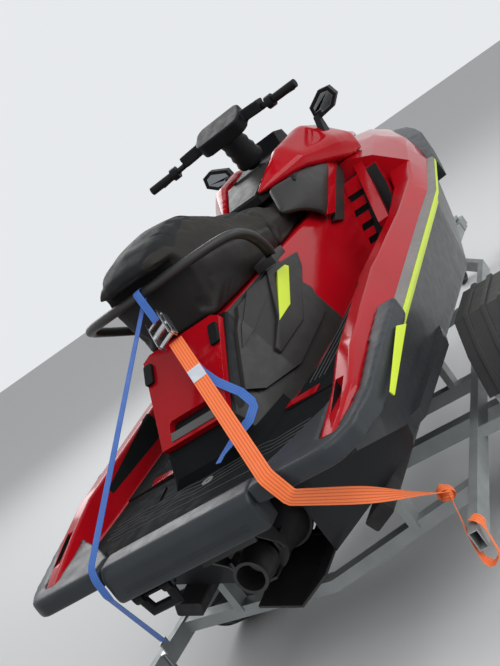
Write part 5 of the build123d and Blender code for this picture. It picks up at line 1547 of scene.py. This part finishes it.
    def drain_cap(self, platform: BVHTree) -> None:
        """Round cap of the drain in the platform mat.

        Args:
            platform: Surface that it lies on.
        """
        bm = bmesh.new()
        bmesh.ops.create_cone(bm, cap_ends=True, segments=self.drain_sides,
                              radius1=self.drain_radii[0], radius2=self.drain_radii[1],
                              depth=self.drain_height)
        cap = next(face for face in bm.faces if face.normal.z > FACING)
        groove, depth = self.drain_groove
        bmesh.ops.inset_region(bm, faces=[cap], thickness=self.drain_ring)
        bmesh.ops.inset_region(bm, faces=[cap], thickness=groove, depth=-depth)
        bmesh.ops.translate(bm, verts=bm.verts, vec=dropped(platform, *self.drain_place))
        shaded(bm)
        even_normals(make("drain_cap", bm, (RAIL_RUBBER,), ROOT_BODY))

    def roll_lines(self) -> None:
        """Three ribs along the rear face of the stern roll."""
        face = surface_of("stern_bumper_centre")
        for number, z in enumerate(self.roll_heights):
            points = []
            for y in range(-self.roll_half, self.roll_half + 1, self.roll_step):
                found = face.ray_cast(craft(self.roll_behind, y, z), Vector((1, 0, 0)))[0]
                points.append(found - Vector((self.rib_sink, 0, 0)))
            band(f"roll_rib_{number}", points, Vector((-1, 0, 0)), self.rib_width, RUBBER)


@dataclass
class Saddle:
    """Seat, handrail, side panels and rear hatch.

    Places are craft millimetres, and walls, edges and the rail's half sizes are metres.
    """

    # Along each saddle: half breadth of its rim, height of its foot, and rise of its top over the CAD
    passenger_rim: tuple[Row, ...] = ((560, 60), (640, 118), (700, 142), (1050, 142), (1310, 132))
    passenger_foot: tuple[Row, ...] = ((560, 1000), (700, 985), (850, 955), (1050, 925), (1310, 880))
    passenger_rise: tuple[Row, ...] = ((560, 12), (650, 24), (786, 30), (916, 22), (1039, -12),
                                       (1147, -34), (1310, -30))
    passenger_seam: tuple[Row, ...] = ((1055, 0), (1030, 150), (1010, 210))
    rider_rim: tuple[Row, ...] = ((1290, 132), (1450, 118), (1640, 100), (2000, 86))
    rider_foot: tuple[Row, ...] = ((1290, 870), (1640, 840), (2000, 820))
    rider_rise: tuple[Row, ...] = ((1270, -30), (1450, -36), (1640, -36), (1800, -30), (2000, -10))
    rider_seam: tuple[Row, ...] = ((1560, 0), (1500, 120), (1480, 200))
    rider_firm_height: float = 860.0
    # Corners of the starboard pads, with y away from the middle
    knee_pad: tuple[Row, ...] = ((985, 206, 792), (1290, 212, 752), (1225, 220, 705), (900, 250, 600),
                                 (655, 236, 596), (650, 233, 622), (790, 233, 672))
    bright_insert: tuple[Row, ...] = ((1024, 226, 768), (1117, 220, 759), (1136, 222, 745),
                                      (906, 246, 668), (774, 242, 664))
    # Half thickness of a pad and bevel of its edges, in metres, and the way that pads lean
    knee_pad_sizes: tuple[float, float] = (0.010, 0.005)
    bright_insert_sizes: tuple[float, float] = (0.0045, 0.002)
    pad_lean: float = 0.3
    cover_top: tuple[Row, ...] = ((1600, 146, 985), (1720, 234, 968), (1960, 256, 930), (2080, 260, 900))
    cover_foot: tuple[Row, ...] = ((1440, 206, 890), (1560, 236, 842), (1650, 252, 790), (1700, 248, 752))
    cover_swell: float = 14.0
    cover_thickness: float = 0.03
    cover_faces: tuple[int, int] = (8, 4)
    # Middle of the handrail from its starboard foot to the middle of its rear
    rail_way: tuple[Row, ...] = ((1035, -236, 818), (980, -268, 842), (880, -302, 902), (800, -318, 946),
                                 (730, -312, 974), (690, -280, 984), (655, -215, 988), (632, -130, 990),
                                 (622, 0, 990))
    rail_feet_top: float = 836.0
    rail_breadth: float = 0.019
    rail_height: float = 0.016
    rail_sides: int = 12
    rail_order: int = 3
    rail_resolution: int = 4
    rail_edge: float = 0.004
    rail_crease: float = 50.0
    # Distance up the hatch's slope in the CAD, and where the finished hatch and handle have it
    hatch_base: Row = (400, 0, 580)
    hatch_slope: Row = (260, 0, 220)
    hatch_moves: tuple[Row, ...] = ((8, -16), (25, 1), (91, 66), (200, 200))
    handle_moves: tuple[Row, ...] = ((35, -4), (57, 24))
    hatch_fixed: float = 200.0
    hatch_edge: float = 0.006

    def build(self) -> None:
        """Make the seat and everything around it."""
        seams = (Seam(self.passenger_seam), Seam(self.passenger_rim), Seam(self.passenger_foot, False))
        Cushion("seat_passenger", seams, self.passenger_rim, self.passenger_foot,
                self.passenger_rise).build()
        Cushion("seat_rider", (Seam(self.rider_rim), Seam(self.rider_seam)), self.rider_rim,
                self.rider_foot, self.rider_rise, self.rider_firm_height).build()
        for hand, side in HANDS:
            self.knee_cover(hand, side)
        self.handrail()
        for hand, side in HANDS:
            Skin(f"side_panel_{side}", PANEL).build()
            for name, corners, (depth, width), finish in (
                    ("knee_pad", self.knee_pad, self.knee_pad_sizes, PANEL),
                    ("bright_insert", self.bright_insert, self.bright_insert_sizes, LIME)):
                turned = tuple((x, hand * y, z) for x, y, z in corners)
                slab(f"{name}_{side}", turned, Vector((0, hand, self.pad_lean)), depth, finish, width)
        self.hatch()
        Skin("hatch_latches", PLASTIC, width=0.002).build()

    def handrail(self) -> None:
        """Thick rounded rail round the back of the seat, with a foot at each end."""
        path = [craft(*spot) for spot in self.rail_way]
        path += [Vector((spot.x, -spot.y, spot.z)) for spot in reversed(path[:-1])]
        curve = bpy.data.curves.new("handrail_line", "CURVE")
        curve.dimensions = "3D"
        curve.resolution_u = self.rail_resolution
        spline = curve.splines.new("NURBS")
        spline.points.add(len(path) - 1)
        for point, spot in zip(spline.points, path):
            point.co = (*spot, 1.0)
        spline.order_u = self.rail_order
        spline.use_endpoint_u = True
        line = linked("handrail_line", curve)
        places = [vert.co.copy() for vert in evaluated(line).vertices]
        bpy.data.objects.remove(line)
        bm = copied("grab_rail")
        top = craft(0, 0, self.rail_feet_top).z
        loop = [face for face in bm.faces if max(vert.co.z for vert in face.verts) > top]
        bmesh.ops.delete(bm, geom=loop, context="FACES")
        bmesh.ops.holes_fill(bm, edges=bm.edges, sides=0)
        swept_tube(bm, places, self.rail_breadth, self.rail_height, self.rail_sides)
        rounded(bm, self.rail_edge, 2, self.rail_crease)
        shaded(bm, self.rail_crease)
        make("grab_rail_skin", bm, (HANDRAIL,), ROOT_BODY, ("grab_rail",))

    def knee_cover(self, hand: int, side: str) -> None:
        """Padded side of the helm between the saddle and the cowl's lower edge.

        Args:
            hand: 1 to port, -1 to starboard.
            side: left or right.
        """
        bm = bmesh.new()
        along, up = self.cover_faces
        bmesh.ops.create_grid(bm, x_segments=along, y_segments=up, size=0.5)
        spans = len(self.cover_top) - 1
        for vert in bm.verts:
            share = (vert.co.x + 0.5) * spans
            rise = vert.co.y + 0.5
            number = min(int(share), spans - 1)
            upper, lower = (Vector(line[number]).lerp(Vector(line[number + 1]), share - number)
                            for line in (self.cover_top, self.cover_foot))
            spot = lower.lerp(upper, rise)
            swell = self.cover_swell * math.sin(math.pi * rise) * math.sin(math.pi * (vert.co.x + 0.5))
            vert.co = craft(spot.x, hand * (spot.y + swell), spot.z)
        bmesh.ops.recalc_face_normals(bm, faces=bm.faces)
        middle = bm.faces[:][len(bm.faces) // 2]
        if middle.normal.y * hand < 0:
            bmesh.ops.reverse_faces(bm, faces=bm.faces)
        shaded(bm, ALL_SMOOTH)
        piece = make(f"knee_cover_{side}", bm, (PANEL,), ROOT_BODY)
        thickened(piece, self.cover_thickness, -1.0)
        subdivided(piece, 2)

    def hatch(self) -> None:
        """Hatch with its lip drawn down to the platform, and the handle low in its slot."""
        base = craft(*self.hatch_base)
        rise = Vector(self.hatch_slope).normalized()
        for node, finish, moves in (("rear_hatch", RED_GEL, self.hatch_moves),
                                    ("hatch_handle", HANDLE, self.handle_moves)):
            bm = copied(node)
            for vert in bm.verts:
                height = (vert.co - base).dot(rise) * 1000
                if height < self.hatch_fixed:
                    vert.co += rise * (interpolate(moves, height) - height) / 1000
            rounded(bm, self.hatch_edge, 3)
            shaded(bm)
            even_normals(make(f"{node}_skin", bm, (finish,), ROOT_BODY, (node,)))


@dataclass
class Helm:
    """Cowl, console, glovebox lid, handlebar, mirrors and hood."""

    lean: float = 25.0
    boot_foot: Row = (2030, 0, 1068)
    boot_steps: int = 32
    boot_crease: float = 60.0
    # Radius in millimetres and distance up the column in metres
    boot_profile: tuple[Row, ...] = ((34, 0.030), (46, 0.030), (62, 0.034), (66, 0.05), (58, 0.07),
                                     (62, 0.09), (55, 0.11), (60, 0.13), (54, 0.15), (58, 0.175),
                                     (50, 0.19))
    glass_rim: float = 0.014
    glass_depth: float = 0.004
    glass_edge: float = 0.001
    mirror_edge: float = 0.004
    mirror_crease: float = 40.0

    def build(self) -> None:
        """Make the pieces ahead of the seat."""
        Moulding("cowl", RED_GEL, voxel=0.008, smoothing=24).build()
        self.column_boot()
        Skin("console", PLASTIC).build()
        Skin("glovebox_lid", PANEL).build()
        Skin("steering_bar", PLASTIC, width=0.002).build()
        Moulding("bar_pad", PLASTIC).build()
        for side in ("left", "right"):
            Skin(f"grip_{side}", GRIP).build()
            self.mirror(f"mirror_{side}")
        Skin("hood", RED_GEL, width=0.004).build()
        Skin("hood_hinge", PLASTIC, width=0.001, segments=1).build()

    def mirror(self, node: str) -> None:
        """Mirror housing with its glass let into the rear face.

        Args:
            node: CAD node of the mirror.
        """
        bm = copied(node)
        rear = [face for face in bm.faces if face.normal.x < -FACING]
        glass = max(rear, key=lambda face: face.calc_area())
        for thickness, depth in ((self.glass_rim, 0.0), (self.glass_edge, -self.glass_depth)):
            bmesh.ops.inset_region(bm, faces=[glass], thickness=thickness, depth=depth,
                                   use_even_offset=True)
        glass.material_index = 1
        rounded(bm, self.mirror_edge, 3, self.mirror_crease)
        shaded(bm)
        even_normals(make(f"{node}_skin", bm, (PLASTIC, GLASS), body_of(node), (node,)))

    def column_boot(self) -> None:
        """Rubber gaiter round the steering column, which turns with it."""
        lean = math.radians(self.lean)
        way = Vector((-math.sin(lean), 0, math.cos(lean)))
        side = Vector((0, 1, 0))
        foot = craft(*self.boot_foot)
        outline = [foot + side * radius / 1000 + way * rise for radius, rise in self.boot_profile]
        bm = spun(outline, foot, way, self.boot_steps, closed=False)
        bmesh.ops.holes_fill(bm, edges=bm.edges, sides=0)
        bmesh.ops.recalc_face_normals(bm, faces=bm.faces)
        shaded(bm, self.boot_crease)
        make("column_boot", bm, (PLASTIC,), body_of("steering_bar"))


@dataclass
class JetPump:
    """Pump, nozzle, reverse gate, impeller and boarding step."""

    castings: tuple[str, ...] = ("pump_housing", "steering_nozzle", "reverse_bucket", "impeller")

    def build(self) -> None:
        """Make the pump's castings and the boarding step."""
        for node in self.castings:
            Skin(node, ALLOY, width=0.0).build()
        Skin("boarding_step", PLASTIC, width=0.0).build()


@dataclass
class Trailer:
    """Galvanised frame, axle, post and rims, with the bunks and mudguards."""

    edge: float = 0.002
    guard_edge: float = 0.0015

    def build(self) -> None:
        """Make the trailer's visible pieces."""
        for node in ("trailer_frame", "axle", "winch_post"):
            Skin(node, ZINC, self.edge).build()
        for side in ("left", "right"):
            Skin(f"bunk_{side}", CARPET, width=0.0).build()
            Skin(f"mudguard_{side}", GUARD, self.guard_edge).build()
            Skin(f"rim_{side}", ZINC, self.edge).build()


@dataclass
class RoadWheel:
    """Grooved tyre and wheel nuts of one side."""

    side: str
    bead: float = 0.166
    bead_round: float = 0.012
    # Places of the bead's two rings, in half widths
    bead_places: tuple[float, float] = (-0.78, -0.9)
    # Shares of the radius and of the half width, from the sidewall to the tread
    shoulder: tuple[Row, ...] = ((0.82, -1.0), (0.93, -0.96), (0.975, -0.84), (0.995, -0.70))
    grooves: tuple[float, ...] = (-0.42, 0.0, 0.42)
    groove: float = 0.006
    groove_mouth: float = 0.07
    groove_floor: float = 0.045
    steps: int = 72
    crease: float = 35.0
    cut_depth: float = 0.005
    cut_rim: float = 0.0015
    cut_span: tuple[float, float] = (0.5, 0.93)
    cut_reach: float = 0.94
    nut_circle: float = 0.050
    nuts: int = 5
    nut_radii: tuple[float, float] = (0.0105, 0.0095)
    nut_depth: float = 0.016
    nut_lift: float = 0.006
    nut_edge: float = 0.001
    # How far out of the rim its face is sought
    nut_search: float = 0.3

    def build(self) -> None:
        """Spin the tyre, cut its shoulders and set the nuts."""
        node = f"tyre_{self.side}"
        low, centre, high = box_of(node)
        radius = (high.z - low.z) / 2
        half = (high.y - low.y) / 2
        inner = radius - self.groove
        outline = [(self.bead, self.bead_places[0]), (self.bead + self.bead_round, self.bead_places[1])]
        outline += [(radius * share, place) for share, place in self.shoulder]
        wall = len(outline)
        for middle in self.grooves:
            outline += [(radius, middle - self.groove_mouth), (inner, middle - self.groove_floor),
                        (inner, middle + self.groove_floor), (radius, middle + self.groove_mouth)]
        outline += [(depth, -place) for depth, place in reversed(outline[:wall])]
        spots = [centre + Vector((0, place * half, reach)) for reach, place in outline]
        bm = spun(spots, centre, Vector((0, 1, 0)), self.steps, closed=True)
        bmesh.ops.recalc_face_normals(bm, faces=bm.faces)
        cut = [face for face in bm.faces if self.on_shoulder(face, centre, radius, half)]
        bmesh.ops.inset_individual(bm, faces=cut, thickness=self.cut_rim, depth=-self.cut_depth)
        shaded(bm, self.crease)
        even_normals(make(f"{node}_tread", bm, (TYRE,), body_of(node), (node,)))
        self.wheel_nuts(centre)

    def on_shoulder(self, face: bmesh.types.BMFace, centre: Vector, radius: float, half: float) -> bool:
        """Whether a face is one of the cuts across the tread's edge.

        Args:
            face: Face of the tyre.
            centre: Middle of the wheel.
            radius: Tyre's radius.
            half: Half its width.

        Returns:
            True for every second face round each shoulder.
        """
        spot = face.calc_center_median() - centre
        turn = math.atan2(spot.z, spot.x) / math.tau * self.steps
        reach = math.hypot(spot.x, spot.z)
        low, high = self.cut_span
        second = round(turn - 0.5) % 2 == 0
        return second and low < abs(spot.y) / half < high and reach > radius * self.cut_reach

    def wheel_nuts(self, centre: Vector) -> None:
        """Ring of hexagon nuts on the wheel's outer face.

        Args:
            centre: Middle of the wheel.
        """
        hand = 1 if centre.y > 0 else -1
        face = surface_of(f"rim_{self.side}")
        bm = bmesh.new()
        for number in range(self.nuts):
            angle = math.tau * number / self.nuts
            over = centre + Vector((math.cos(angle), 0, math.sin(angle))) * self.nut_circle
            start = over + Vector((0, hand * self.nut_search, 0))
            found = face.ray_cast(start, Vector((0, -hand, 0)))[0]
            if found is None:
                continue
            made = bmesh.ops.create_cone(bm, cap_ends=True, segments=6, radius1=self.nut_radii[0],
                                         radius2=self.nut_radii[1], depth=self.nut_depth)["verts"]
            bmesh.ops.rotate(bm, verts=made, matrix=Matrix.Rotation(-hand * math.pi / 2, 3, "X"))
            bmesh.ops.translate(bm, verts=made, vec=found + Vector((0, hand * self.nut_lift, 0)))
        rounded(bm, self.nut_edge, 1)
        shaded(bm)
        make(f"wheel_nuts_{self.side}", bm, (STEEL,), body_of(f"rim_{self.side}"))


def dress_nodes() -> None:
    """Give every CAD node the finish of its slot."""
    for row in frame["record"]["subparts"]:
        node = frame["nodes"][row["node"]]
        FINISH_OF_SLOT[row["material_slot"]].dress(node)


def main() -> None:
    """Build the camera, the pieces and the studio in order."""
    logging.basicConfig(level=logging.INFO, format="%(message)s")
    PhotoCamera().build()
    dress_nodes()
    for assembly in (Lashing(), Shell(), Saddle(), Helm(), JetPump(), Trailer(), RoadWheel("left"),
                     RoadWheel("right")):
        assembly.build()
    Studio().build()


if __name__ == "__main__":
    main()
